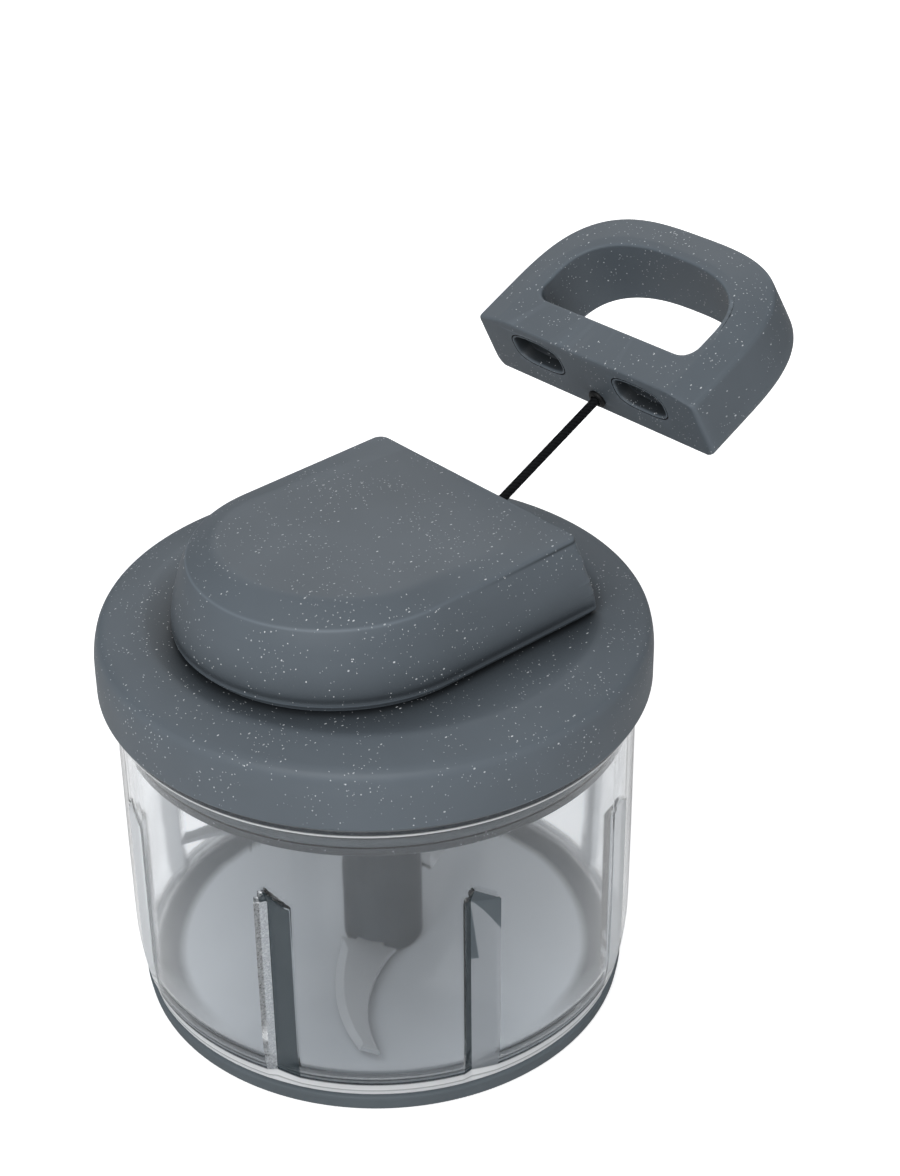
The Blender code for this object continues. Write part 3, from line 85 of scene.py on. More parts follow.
def curve_point(start, corner, end, share):
    """A point of the curve that rounds a corner between two points."""
    return start * (1 - share) ** 2 + corner * 2 * share * (1 - share) + end * share ** 2


def rounded(keys, steps=5):
    """Round the corners of a polyline of tuples; each key's last number is its corner radius."""
    most = 0.49
    points = []
    last = len(keys) - 1
    for i, key in enumerate(keys):
        here = Vector(key[:-1])
        reach = key[-1]
        if reach <= 0.0 or i in (0, last):
            points.append(tuple(here))
            continue
        before = Vector(keys[i - 1][:-1])
        after = Vector(keys[i + 1][:-1])
        into = min(reach, (before - here).length * most)
        out = min(reach, (after - here).length * most)
        start = here + (before - here).normalized() * into
        end = here + (after - here).normalized() * out
        points += [tuple(curve_point(start, here, end, k / steps)) for k in range(steps + 1)]
    return points


def strip(bm, low, high):
    """Faces between two closed rows of vertices."""
    count = len(low)
    for i in range(count):
        j = (i + 1) % count
        bm.faces.new((low[i], low[j], high[j], high[i]))


def skin(loops, ring=False, cap_last=True):
    """A surface through closed loops, joined into a ring or capped at its ends."""
    bm = bmesh.new()
    rows = [[bm.verts.new(point) for point in loop] for loop in loops]
    for low, high in zip(rows, rows[1:]):
        strip(bm, low, high)
    if ring:
        strip(bm, rows[-1], rows[0])
        return bm
    bm.faces.new(rows[0])
    if cap_last:
        bm.faces.new(rows[-1])
    return bm


def new_object(name, data):
    item = bpy.data.objects.new(name, data)
    bpy.context.scene.collection.objects.link(item)
    return item


def smooth(mesh, angle=SEGMENT_ANGLE):
    """Smooth up to an angle, and sharp beyond it."""
    mesh.shade_smooth()
    mesh.set_sharp_from_angle(angle=angle)


def place(name, bm, matrix=None, angle=SEGMENT_ANGLE):
    """Make an object of a bmesh, smooth up to an angle."""
    if matrix:
        bmesh.ops.transform(bm, matrix=matrix, verts=bm.verts)
    bmesh.ops.recalc_face_normals(bm, faces=bm.faces)
    mesh = bpy.data.meshes.new(name)
    bm.to_mesh(mesh)
    bm.free()
    smooth(mesh, angle)
    return new_object(name, mesh)


def circle(radius, height, sides=ROUND, spot=(0.0, 0.0), start=0.25):
    """Points round a spot, in metres; start is the first point's place, in sides."""
    points = []
    for i in range(sides):
        angle = 2 * pi * (i + start) / sides
        x = spot[0] + radius * cos(angle)
        y = spot[1] + radius * sin(angle)
        points.append(Vector((x, y, height)))
    return points


def turned(name, profile, sides=ROUND, ring=False, spot=(0.0, 0.0), matrix=None):
    """Turn a profile of (radius, height) in millimetres about Z, at a spot in metres."""
    loops = [circle(radius * MM, height * MM, sides, spot) for radius, height in profile]
    return place(name, skin(loops, ring), matrix)


def boolean(item, cutters, operation="DIFFERENCE"):
    """Apply Booleans at once, and remove the cutters."""
    for cutter in cutters:
        step = item.modifiers.new("cut", "BOOLEAN")
        step.operation = operation
        step.object = cutter
        step.solver = "EXACT"
    bpy.context.view_layer.update()
    graph = bpy.context.evaluated_depsgraph_get()
    mesh = bpy.data.meshes.new_from_object(item.evaluated_get(graph))
    item.modifiers.clear()
    old = item.data
    item.data = mesh
    mesh.name = item.name
    bpy.data.meshes.remove(old)
    for cutter in cutters:
        bpy.data.objects.remove(cutter, do_unlink=True)
    smooth(mesh)
    return item


def paint(item, material):
    item.data.materials.clear()
    item.data.materials.append(material)


def dress(item, material, body, slot, *nodes):
    """Give a piece its material and body, and hide the CAD nodes that it replaces. The slot is not
    used.
    """
    paint(item, material)
    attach(item, body)
    if nodes:
        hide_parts(*nodes)
    return item


# Materials

def linear(value):
    value = value / 255
    return value / 12.92 if value <= 0.04045 else ((value + 0.055) / 1.055) ** 2.4


def colour(red, green, blue):
    """A colour as seen on a screen, from 0 to 255, as Blender takes it."""
    return linear(red), linear(green), linear(blue), 1.0


def scaled(shade, factor):
    """A shade made lighter or darker."""
    return tuple(min(channel * factor, 1.0) for channel in shade[:3]) + (1.0,)


GREY = colour(100, 109, 117)
SPECK = colour(228, 232, 236)

# Flecks: spacing and radius in metres, the least share of bare cells, and the cells' stretch
LARGE_FLECKS = (0.0019, 0.00031, 0.52, (0.8, 1.6, 1.2))
SMALL_FLECKS = (0.0010, 0.00018, 0.42, (1.5, 0.75, 1.0))
PATCH_SPREAD = 3.2

# Painted shade in corners and painted highlights on edges of the grey plastic
CORNER_REACH = 13.5 * MM
CORNER_DEPTH = 0.55
EDGE_FROM = 0.504
EDGE_SPAN = 0.03

# Painted lines on the housing: highlights along the crease and the lip, and shade below the
# crease.
# Each is height at X = 0, slope, half width (less than 0 for a dark painted shade line), and the X
# where the line begins to fade, over LINE_FADE
HOUSING_LINES = [(125.6, 0.018, 0.36, -22.0), (107.6, 0.0, 0.45, 30.0), (124.9, 0.018, -0.5, 26.0)]
LINE_FADE = 26.0

# Bands on the bowl, as (height, strength): the frosted floor, and painted highlight and painted
# shade lines at the lower corner and the rim flange
FLOOR_BAND = [(4.0, 0.0), (5.0, 0.0), (5.3, 1.0), (8.2, 1.0), (9.5, 0.0), (12.0, 0.0)]
PAINTED_HIGHLIGHT_BANDS = [
    (4.0, 0.1), (4.9, 0.1), (5.2, 0.9), (6.3, 0.9), (6.5, 0.4), (6.8, 0.4), (7.0, 0.95),
    (8.6, 0.85), (9.0, 0.0), (85.0, 0.0), (85.2, 0.9), (85.9, 0.9), (86.1, 0.0), (90.0, 0.0),
]
PAINTED_SHADE_BANDS = [
    (4.0, 0.0), (8.8, 0.0), (9.0, 0.6), (9.3, 0.6), (9.5, 0.0), (86.0, 0.0), (86.2, 0.7),
    (87.7, 0.7), (87.9, 0.0), (90.0, 0.0),
]
BAND_RADIUS = 59.3


class Nodes:
    """A short hand for making the nodes of one new material, or of the world."""

    def __init__(self, name, world=False):
        owners = bpy.data.worlds if world else bpy.data.materials
        self.owner = owners.new(name)
        self.owner.use_nodes = True
        self.tree = self.owner.node_tree
        self.shader = self.tree.nodes["Background" if world else "Principled BSDF"]
        self.output = self.tree.nodes["World Output" if world else "Material Output"]

    def feed(self, socket, value):
        """Set a socket to a number or tuple, or join it to another node's output."""
        if isinstance(value, (int, float, tuple)):
            socket.default_value = value
        else:
            self.tree.links.new(value, socket)

    def set(self, node, **values):
        """Feed sockets by name, with a capital and _ for a space, or change a node's settings."""
        for key, value in values.items():
            if key[0].isupper():
                self.feed(node.inputs[key.replace("_", " ")], value)
            else:
                setattr(node, key, value)

    def add(self, kind, *values, **named):
        """Make a node and give its outputs. The values feed its sockets in their order."""
        node = self.tree.nodes.new("ShaderNode" + kind)
        self.set(node, **named)
        for socket, value in zip(node.inputs, values):
            self.feed(socket, value)
        return node.outputs

    def finish(self, surface):
        """Join the last shader to the output."""
        self.set(self.output, Surface=surface)
        return self.owner

    def math(self, operation, *values, clamp=False):
        return self.add("Math", *values, operation=operation, use_clamp=clamp)[0]

    def product(self, value, *factors, clamp=False):
        for factor in factors:
            value = self.math("MULTIPLY", value, factor, clamp=clamp)
        return value

    def add_to(self, value, factor, offset, clamp=False):
        """value * factor + offset"""
        return self.math("MULTIPLY_ADD", value, factor, offset, clamp=clamp)

    def fade(self, value, start, span):
        """A value in metres made 0 at the start and 1 a span on, both in millimetres.

        With a span below 0 it is 1 on the near side."""
        return self.add_to(value, 1 / (span * MM), -start / span, clamp=True)

    def measure(self, operation, *vectors):
        """A number from one vector or two."""
        return self.add("VectorMath", *vectors, operation=operation)["Value"]

    def blend(self, factor, first, second):
        """A colour between two."""
        return self.add("Mix", data_type="RGBA", Factor=factor, A=first, B=second)["Result"]

    def place(self):
        return self.add("TexCoord")["Object"]

    def stretched(self, scale):
        """The object's coordinates, scaled along each axis."""
        return self.add("Mapping", Scale=scale, Vector=self.place())["Vector"]

    def axes(self):
        """The object's X, Y and Z, in metres."""
        return self.add("SeparateXYZ", self.place())

    def radius_and_height(self):
        """Distance from the object's Z axis, and height, in metres."""
        x, y, height = self.axes()
        return self.measure("LENGTH", self.add("CombineXYZ", x, y)[0]), height

    def noise(self, scale, detail=2.0, rough=0.5, vector=None):
        return self.add("TexNoise", Scale=scale, Detail=detail, Roughness=rough,
                        Vector=vector or self.place())["Fac"]

    def ramp(self, source, stops):
        """A colour ramp of (position, colour) stops."""
        node = self.tree.nodes.new("ShaderNodeValToRGB")
        elements = node.color_ramp.elements
        while len(elements) > 1:
            elements.remove(elements[0])
        elements[0].position, elements[0].color = stops[0]
        for position, value in stops[1:]:
            elements.new(position).color = value
        self.set(node, Fac=source)
        return node.outputs["Color"]

    def mottled(self, source, shade, darker, lighter, low=0.3):
        """A shade that drifts with a noise between a darker and a lighter one."""
        return self.ramp(source, [(low, scaled(shade, darker)), (1 - low, scaled(shade, lighter))])

    def bands(self, value, stops):
        """A grey ramp over a height in metres, given as (millimetres, grey) stops."""
        low, high = stops[0][0], stops[-1][0]
        span = high - low
        greys = [((height - low) / span, (grey, grey, grey, 1.0)) for height, grey in stops]
        return self.ramp(self.fade(value, low, span), greys)

    def bump(self, height, strength, distance):
        """Roughen the main shader, by a distance in metres."""
        bumped = self.add("Bump", Strength=strength, Distance=distance, Height=height)
        self.set(self.shader, Normal=bumped["Normal"])

    def matt(self, shade):
        return self.add("BsdfDiffuse", Color=shade)[0]

    def over(self, factor, under, upper):
        """The upper shader over the under one, by a factor."""
        return self.add("MixShader", factor, under, upper)[0]


def flecks(nodes, spacing, radius, least, shape):
    """Small light specks, one at most per Voronoi cell and fewer in some patches, from 0 to 1."""
    cells = nodes.add("TexVoronoi", Scale=1.0 / spacing, Vector=nodes.stretched(shape))
    parts = nodes.add("SeparateColor", cells["Color"])
    half = 0.5 * radius / spacing
    near = nodes.add_to(parts["Red"], half, half)
    edge = nodes.math("SUBTRACT", near, cells["Distance"])
    mask = nodes.product(edge, spacing / radius * 5.0, clamp=True)
    patch = nodes.add_to(nodes.noise(85.0, 1.0), PATCH_SPREAD, least - PATCH_SPREAD / 2)
    chosen = nodes.math("GREATER_THAN", parts["Green"], patch)
    uneven = nodes.math("POWER", parts["Blue"], 1.3)
    return nodes.product(mask, nodes.add_to(uneven, 0.70, 0.50, clamp=True), chosen)


def speckled_plastic(name, lines=()):
    """Matt grey plastic with a fine grain and light flecks, painted shade in corners and painted
    highlights on edges.

    The lines are soft painted highlights or painted shade along creases, as in HOUSING_LINES."""
    nodes = Nodes(name)
    shadow = scaled(GREY, 0.17)
    painted_highlight = scaled(GREY, 1.45)
    base = nodes.mottled(nodes.noise(38.0, 3.0), GREY, 0.94, 1.06)
    # Painted shade in corners and under overhangs, from ambient occlusion
    occlusion = nodes.add("AmbientOcclusion", samples=8, Distance=CORNER_REACH)["AO"]
    in_the_open = nodes.add_to(occlusion, 1 / CORNER_DEPTH, 1 - 1 / CORNER_DEPTH, clamp=True)
    base = nodes.blend(in_the_open, shadow, base)
    # Painted highlights on convex edges and creases, from the mesh's pointiness
    convexity = nodes.add("NewGeometry")["Pointiness"]
    edge = nodes.add_to(convexity, 1 / EDGE_SPAN, -EDGE_FROM / EDGE_SPAN, clamp=True)
    base = nodes.blend(nodes.product(edge, 0.6), base, painted_highlight)
    # Painted highlight lines along the crease and the lip, and a painted shade line below the
    # crease
    for height, slope, half, fade_from in lines:
        x, _, z = nodes.axes()
        off = nodes.math("ABSOLUTE", nodes.math("ADD", z, nodes.add_to(x, -slope, -height * MM)))
        line = nodes.fade(off, abs(half), -abs(half))
        span = LINE_FADE if half < 0 else -LINE_FADE
        shown = nodes.product(line, nodes.fade(x, fade_from - span, span), 0.8)
        base = nodes.blend(shown, base, shadow if half < 0 else painted_highlight)
    both = nodes.math("MAXIMUM", flecks(nodes, *LARGE_FLECKS), flecks(nodes, *SMALL_FLECKS))
    base = nodes.blend(both, base, SPECK)
    nodes.set(nodes.shader, Base_Color=base, Roughness=0.50, Specular_IOR_Level=0.32)
    nodes.bump(nodes.noise(2600.0, 3.0, 0.6), 0.30, 0.00005)
    return nodes.owner


def plain_plastic(name, shade, rough, grain_scale=1800.0, strength=0.2):
    nodes = Nodes(name)
    base = nodes.mottled(nodes.noise(60.0), shade, 0.95, 1.05, 0.35)
    nodes.set(nodes.shader, Base_Color=base, Roughness=rough, Specular_IOR_Level=0.4)
    nodes.bump(nodes.noise(grain_scale), strength, 0.00005)
    return nodes.owner


def metal(name, shade, rough, stretch):
    """Metal with fine marks from turning or grinding along one direction."""
    nodes = Nodes(name)
    marks = nodes.noise(900.0, 3.0, 0.6, nodes.stretched(stretch))
    nodes.set(nodes.shader, Base_Color=nodes.mottled(marks, shade, 0.88, 1.08),
              Roughness=nodes.add_to(marks, 0.18, rough), Metallic=1.0)
    nodes.bump(marks, 0.12, 0.00003)
    return nodes.owner


def let_light_through(nodes, surface):
    """Finish clear plastic, which refracts what is seen through it but lets soft light pass."""
    passing = nodes.add("BsdfTransparent", Color=(0.93, 0.94, 0.95, 1.0))[0]
    path = nodes.add("LightPath")
    soft = nodes.math("MAXIMUM", path["Is Shadow Ray"], path["Is Diffuse Ray"])
    return nodes.finish(nodes.over(soft, surface, passing))


def clear_plastic():
    """Clear plastic with a frosted floor, and thin painted highlight and painted shade lines at
    its lower corner and rim flange.

    The floor has a ring of painted shade at the rear and the sides, and painted shade in front of
    the blade column."""
    nodes = Nodes("clear_bowl_plastic")
    tint = nodes.ramp(nodes.noise(25.0), [(0.2, (0.965, 0.982, 1.0, 1.0)),
                                          (0.8, (0.98, 0.99, 1.0, 1.0))])
    nodes.set(nodes.shader, Base_Color=tint, Roughness=0.05, IOR=1.47, Transmission_Weight=1.0)
    radius, height = nodes.radius_and_height()
    # A ring of painted shade on the floor, at the rear and the sides
    rearward = nodes.measure("DOT_PRODUCT", nodes.place(), (0.669, 0.743, 0.0))
    ring = nodes.product(nodes.fade(rearward, -38.0, 22.0), nodes.fade(radius, 51.2, 2.4))
    # Painted shade on the floor, darkest just in front of the blade column
    from_front = nodes.measure("DISTANCE", nodes.place(), (-0.021, -0.023, 0.006))
    tone = nodes.blend(nodes.fade(from_front, 44.0, -34.0), (0.74, 0.78, 0.82, 1.0),
                       (0.54, 0.57, 0.60, 1.0))
    tone = nodes.blend(ring, tone, (0.12, 0.14, 0.16, 1.0))
    frost = nodes.product(nodes.fade(radius, 59.4, -0.9), nodes.bands(height, FLOOR_BAND), 0.80)
    surface = nodes.over(frost, nodes.shader.outputs[0], nodes.matt(tone))
    # Painted highlight lines and painted shade lines round the lower corner and the rim flange
    outside = nodes.math("GREATER_THAN", radius, BAND_RADIUS * MM)
    for stops, shade in ((PAINTED_HIGHLIGHT_BANDS, (0.93, 0.95, 0.97, 1.0)),
                         (PAINTED_SHADE_BANDS, (0.05, 0.06, 0.07, 1.0))):
        lines = nodes.product(nodes.bands(height, stops), outside)
        surface = nodes.over(lines, surface, nodes.matt(shade))
    return let_light_through(nodes, surface)


def rib_shadow(nodes, number):
    """Painted shade at the top of a rib's wide side: its roof, a curved corner and a spear.

    The spear hangs along the rib's deep line. Also gives 1 where the rib is pressed in, and 0
    above its sloping top."""
    corner_reach = 9.2
    spear_length = 17.0
    spear_width = 0.28
    x, y, z = nodes.axes()
    first = RIB_FIRST + (number - RIB_COUNT) * RIB_PITCH
    across = nodes.add_to(nodes.math("ARCTAN2", y, x), 1 / RIB_SHALLOW, -first / RIB_SHALLOW,
                          clamp=True)
    roof = nodes.add_to(across, RIB_SHOULDER - RIB_ROOF, RIB_ROOF)
    below = nodes.math("ADD", roof, nodes.product(z, -1 / MM))
    reach = nodes.product(nodes.math("POWER", across, 1.3), corner_reach)
    corner = nodes.product(nodes.math("SUBTRACT", reach, below), 4.0, clamp=True)
    width = nodes.product(below, spear_width / spear_length)
    spear = nodes.product(nodes.math("SUBTRACT", width, across), 30.0, clamp=True)
    spear = nodes.product(spear, nodes.math("LESS_THAN", below, spear_length))
    tip = nodes.product(below, -5.0, clamp=True)
    depth = nodes.add_to(across, RIB_ROOF - RIB_TIP, RIB_TIP - RIB_ROOF)
    pressed = nodes.product(nodes.math("ADD", below, depth), 5.0, clamp=True)
    return nodes.math("MAXIMUM", nodes.math("MAXIMUM", corner, spear), tip), pressed


def rib_plastic(name, shade, share, grain=0.0, shadowed=None):
    """The bowl's plastic where a rib's side has a painted dark or light reflection of its
    surroundings.

    A rib's number in shadowed adds the painted shade at that rib's top."""
    nodes = Nodes(name)
    nodes.set(nodes.shader, Base_Color=(0.96, 0.97, 0.98, 1.0), Roughness=0.03, IOR=1.47,
              Transmission_Weight=1.0)
    # A noise, scaled by grain, makes the painted reflection uneven
    cloud = nodes.noise(1500.0, 2.0, 0.7)
    amount = nodes.add_to(cloud, grain * 4.0, share - grain * 2.0, clamp=True)
    if shadowed:
        dark, pressed = rib_shadow(nodes, shadowed)
        amount = nodes.product(amount, pressed)
    surface = nodes.over(amount, nodes.shader.outputs[0], nodes.matt(shade))
    if shadowed:
        # Painted shade over the top of the pressed-in part of the rib
        dark = nodes.product(dark, pressed, 0.8)
        surface = nodes.over(dark, surface, nodes.matt((0.075, 0.095, 0.11, 1.0)))
    return let_light_through(nodes, surface)


def braided_cord():
    """Black braid: ridges across the cord, broken up by a fine noise."""
    nodes = Nodes("braided_cord")
    wave = nodes.add("TexWave", wave_type="BANDS", bands_direction="DIAGONAL", Scale=420.0,
                     Distortion=0.6, Vector=nodes.place())["Fac"]
    ridge = nodes.math("ADD", wave, nodes.noise(1600.0))
    base = nodes.ramp(ridge, [(0.4, (0.0015, 0.002, 0.0025, 1.0)),
                              (1.0, (0.009, 0.010, 0.012, 1.0))])
    nodes.set(nodes.shader, Base_Color=base, Roughness=0.70, Specular_IOR_Level=0.12)
    nodes.bump(ridge, 0.7, 0.00012)
    return nodes.owner


# Housing, cord guide and docking bosses. HOUSING_BASE is the height of the housing's lower edge.

HOUSING_BASE = 107.1
HOUSING_CENTRE = -10.5
HOUSING_END = 36.6
HOUSING_LEAN = radians(10.4)
HOUSING_WALL = 2.2
HOUSING_SEAT = -1.7
DOCK_SIDE = 18.1
DOCK_HEIGHT = 121.1
CORD_RISE = radians(26.5)
CORD_HEIGHT = 115.05
CORD_OUT = 44.76
CORD_RADIUS = 1.18


def housing_end(rise):
    """X of the flat leaning end, at a rise above the housing's base."""
    return HOUSING_END - rise * tan(HOUSING_LEAN)


def housing_loop(radius, rise, slope, corner, inset=0.0):
    """A D: an arc about HOUSING_CENTRE, straight sides, rounded end corners and a straight end."""
    radius -= inset
    end_x = housing_end(rise) - inset
    inner_x = end_x - corner
    span = radius - corner
    side = [HOUSING_CENTRE + (inner_x - HOUSING_CENTRE) * i / D_SIDE for i in range(1, D_SIDE)]
    points = arc(HOUSING_CENTRE, 0.0, radius, pi / 2, pi, D_ARC)
    points += [(x, -radius) for x in side]
    points += arc(inner_x, -span, corner, -pi / 2)
    points += [(end_x, -span + 2 * span * i / D_END) for i in range(1, D_END)]
    points += arc(inner_x, span, corner, 0.0)
    points += [(x, radius) for x in reversed(side)]
    return [mm(x, y, HOUSING_BASE + rise + slope * (x - HOUSING_CENTRE)) for x, y in points]


def guide_point():
    """Where the cord's line leaves the housing's flat end."""
    return mm(housing_end(CORD_HEIGHT - HOUSING_BASE), 0.0, CORD_HEIGHT)


def guide_matrix():
    """The guide point, with Z square to the flat end."""
    return Matrix.Translation(guide_point()) @ Matrix.Rotation(pi / 2 - HOUSING_LEAN, 4, "Y")


def oval_loop(half_length, half_height, depth, sides=48, power=2 / 3):
    """A squarish oval across X."""
    points = []
    for i in range(sides):
        angle = 2 * pi * (i + 0.5) / sides
        y = copysign(abs(cos(angle)) ** power, cos(angle))
        z = copysign(abs(sin(angle)) ** power, sin(angle))
        points.append(mm(depth, half_length * y, half_height * z))
    return points


def oval(name, levels, matrix, ring=False):
    """Ovals of (half length, half height, depth), joined up."""
    return place(name, skin([oval_loop(*level) for level in levels], ring), matrix)


def dock_boss(side):
    seat = mm(housing_end(DOCK_HEIGHT - HOUSING_BASE), side * DOCK_SIDE, DOCK_HEIGHT)
    matrix = Matrix.Translation(seat) @ Matrix.Rotation(-HOUSING_LEAN, 4, "Y")
    levels = [(6.8, 3.0, -1.1), (6.8, 3.0, 1.6), (6.6, 2.8, 1.9), (6.2, 2.4, 2.0)]
    return oval("dock_boss", levels, matrix)


def make_housing(material):
    outer = rounded([
        (38.0, HOUSING_SEAT, 0.0, 1.6, 0.0), (38.0, 0.0, 0.0, 1.6, 0.15),
        (39.7, 0.0, 0.0, 1.6, 0.25), (39.85, 0.8, 0.0, 1.6, 0.35), (39.7, 1.3, 0.0, 1.6, 0.50),
        (39.9, 3.2, 0.0, 1.7, 1.5), (39.35, 6.2, 0.0, 1.8, 2.0), (38.5, 9.6, 0.0, 2.0, 2.0),
        (37.1, 14.8, 0.009, 2.2, 2.0), (35.5, 18.4, 0.018, 2.4, 0.7),
        (28.5, 21.1, -0.040, 2.6, 1.6), (26.0, 21.2, -0.040, 2.6, 0.0),
    ], 6)
    lining = [
        (35.6, 18.6 - HOUSING_WALL, -0.02, 2.0),
        (37.6, 9.0, 0.0, 1.6),
        (37.6, HOUSING_SEAT, 0.0, 1.6),
    ]
    loops = [housing_loop(*key, HOUSING_WALL) for key in lining]
    item = place("housing_shell", skin(loops + [housing_loop(*key) for key in outer]))
    for side in (1, -1):
        boolean(item, [dock_boss(side)], "UNION")
    boolean(item, [turned("guide_hole", [(4.9, -12.0), (4.9, 6.0)], 48, matrix=guide_matrix())])
    return dress(item, material, "lid", "body_plastic", "mechanism_housing")


def make_guide(material):
    profile = [(4.6, -4.8), (4.6, 0.3), (5.3, 0.3), (5.6, 0.55), (5.4, 0.95), (3.9, 1.0)]
    steps = 12
    for i in range(steps + 1):
        along = 1 - 2 * i / steps
        profile.append((2.0 + 1.6 * along ** 2, -1.9 + 2.9 * along))
    item = turned("cord_exit", profile, 64, ring=True, matrix=guide_matrix())
    return dress(item, material, "lid", "guide_plastic", "cord_guide")


# Lid. The profiles below are (radius, height, rounding).

SCREW_CIRCLE = 42.5
SCREW_SEAT = 79.4


def screw_spots():
    """Where the three cover screws stand, in metres."""
    reach = SCREW_CIRCLE * MM
    return [(reach * cos(2 * pi * i / 3), reach * sin(2 * pi * i / 3)) for i in range(3)]


def make_lid(material):
    profile = rounded([
        (30.0, 106.7, 0.0), (35.0, 106.7, 0.6), (36.4, 105.3, 0.8), (49.0, 105.2, 4.0),
        (55.6, 106.0, 1.5), (64.9, 103.6, 1.2), (66.6, 102.4, 1.2), (67.5, 98.6, 2.5),
        (67.5, 88.9, 0.4), (67.1, 88.4, 0.3), (65.2, 88.4, 0.3), (65.2, 96.8, 1.0),
        (60.9, 96.8, 1.0), (60.9, 82.2, 0.1), (60.1, 82.2, 0.1), (60.1, 79.4, 0.1),
        (60.9, 79.4, 0.1), (60.9, 77.5, 0.3), (60.4, 77.1, 0.3), (58.5, 77.1, 0.3),
        (58.5, 96.8, 2.0), (54.0, 103.0, 2.0), (36.0, 103.0, 1.0), (30.0, 104.4, 0.0),
    ])
    item = turned("lid_shell", profile, ring=True)
    pilots = []
    for spot in screw_spots():
        boolean(item, [turned("post", [(3.2, 81.5), (3.2, 104.2)], 32, spot=spot)], "UNION")
        pilots.append(turned("pilot", [(1.5, 79.0), (1.5, 89.0)], 24, spot=spot))
    boolean(item, pilots)
    return dress(item, material, "lid", "body_plastic", "lid_body")


def make_seal(material):
    profile = rounded([
        (60.4, 79.7, 0.0), (60.6, 79.7, 0.1), (61.1, 80.8, 0.5), (60.6, 81.9, 0.1),
        (60.4, 81.9, 0.0),
    ])
    item = turned("seal_ring", profile, ring=True)
    return dress(item, material, "lid", "seal_silicone", "lid_seal")


def make_cover(material):
    profile = rounded([
        (58.1, 79.0, 0.3), (58.1, 81.2, 0.2), (11.8, 81.2, 1.0), (11.8, 91.5, 0.3),
        (9.7, 91.5, 0.0), (9.7, 77.8, 0.0), (13.3, 77.8, 0.3), (14.5, 79.0, 0.6),
        (30.0, 79.0, 0.3), (31.0, 79.5, 0.3), (54.0, 79.5, 0.3), (55.0, 79.0, 0.3),
    ], 3)
    item = turned("underside_cover", profile, ring=True)
    hole = [(2.6, 76.0), (2.6, 79.7), (1.6, 79.7), (1.6, 84.0)]
    boolean(item, [turned("hole", hole, 32, spot=spot) for spot in screw_spots()])
    return dress(item, material, "lid", "inner_plastic", "mechanism_cover")


# Bowl and foot. A rib has a steep and a shallow side, a tip and lower shoulders; its full depth
# begins at RIB_ROOF. Both floors are radii.

RIB_COUNT = 8
RIB_PITCH = 2 * pi / RIB_COUNT
RIB_FIRST = radians(24.7)
RIB_STEEP = radians(2.1)
RIB_SHALLOW = radians(6.1)
RIB_TIP = 65.4
RIB_SHOULDER = 60.9
RIB_ROOF = 60.3
RIB_FOOT = 8.9
RIB_OUTER_FLOOR = 61.2
RIB_INNER_FLOOR = 59.0
NO_RIB = 100.0
BOWL_OUTSIDE = 63.6
BOWL_INSIDE = 61.4
FLOOR_INSIDE = 5.9
FLOOR_UNDER = 3.5
COARSE_ROWS = (50.0, 56.0, 57.5, 58.6, 59.4, 60.2)
FINE_ROWS = [60.2 + 0.35 * i for i in range(1, 18)]

# The painted reflection and shade tones of the ribs' sides, as material indices. Two ribs face the
# photograph's camera.
PLAIN, DARK, LIGHT, GREYED, PALE = range(5)
FRONT_LEFT = 4
FRONT_RIGHT = 5


def make_foot(material):
    profile = rounded([
        (52.4, 3.2, 0.0), (52.4, 1.6, 0.0), (58.9, 1.6, 0.0), (58.9, 4.5, 0.2), (61.5, 4.5, 0.4),
        (61.9, 4.1, 0.5), (61.3, 0.5, 0.6), (60.8, 0.0, 0.4),
    ])
    item = turned("soft_foot", profile)
    return dress(item, material, "bowl", "foot_rubber", "base_foot")


def rib_offsets():
    """Column angles of one pitch: close together at a rib's edges and its deep line."""
    fine = radians(0.11)
    offsets = [-RIB_STEEP - fine, -RIB_STEEP, -RIB_STEEP + fine, -RIB_STEEP / 2, -fine, 0.0, fine]
    offsets += [RIB_SHALLOW * i / 5 for i in range(1, 5)]
    offsets += [RIB_SHALLOW - fine, RIB_SHALLOW, RIB_SHALLOW + fine]
    start = RIB_SHALLOW + fine
    gap = RIB_PITCH - start - RIB_STEEP - fine
    spans = 16
    return offsets + [start + gap * i / spans for i in range(1, spans)]


def rib_top(offset):
    """How far an offset is from the deep line, from 0 to 1, and the rib's top there."""
    away = min(abs(offset) / (RIB_SHALLOW if offset > 0 else RIB_STEEP), 1.0)
    return away, RIB_TIP + (RIB_SHOULDER - RIB_TIP) * away


def rib_share(offset, height):
    """How far a rib is pressed in at a height, from 0 to 1, below its pointed sloping top."""
    if offset > RIB_PITCH / 2 + RIB_SHALLOW / 2:
        offset -= RIB_PITCH
    away, top = rib_top(offset)
    above = min(max((top - height) / (RIB_TIP - RIB_ROOF), 0.0), 1.0)
    return min(1 - away, above)


def bowl_loop(radius, height, rib_floor):
    points = []
    for k in range(RIB_COUNT):
        for offset in rib_offsets():
            angle = RIB_FIRST + k * RIB_PITCH + offset
            reach = radius - max(radius - rib_floor, 0.0) * rib_share(offset, height)
            points.append(mm(reach * cos(angle), reach * sin(angle), height))
    return points


def bowl_loops(profile, rib_floor):
    return [bowl_loop(radius, height, rib_floor) for radius, height in profile]


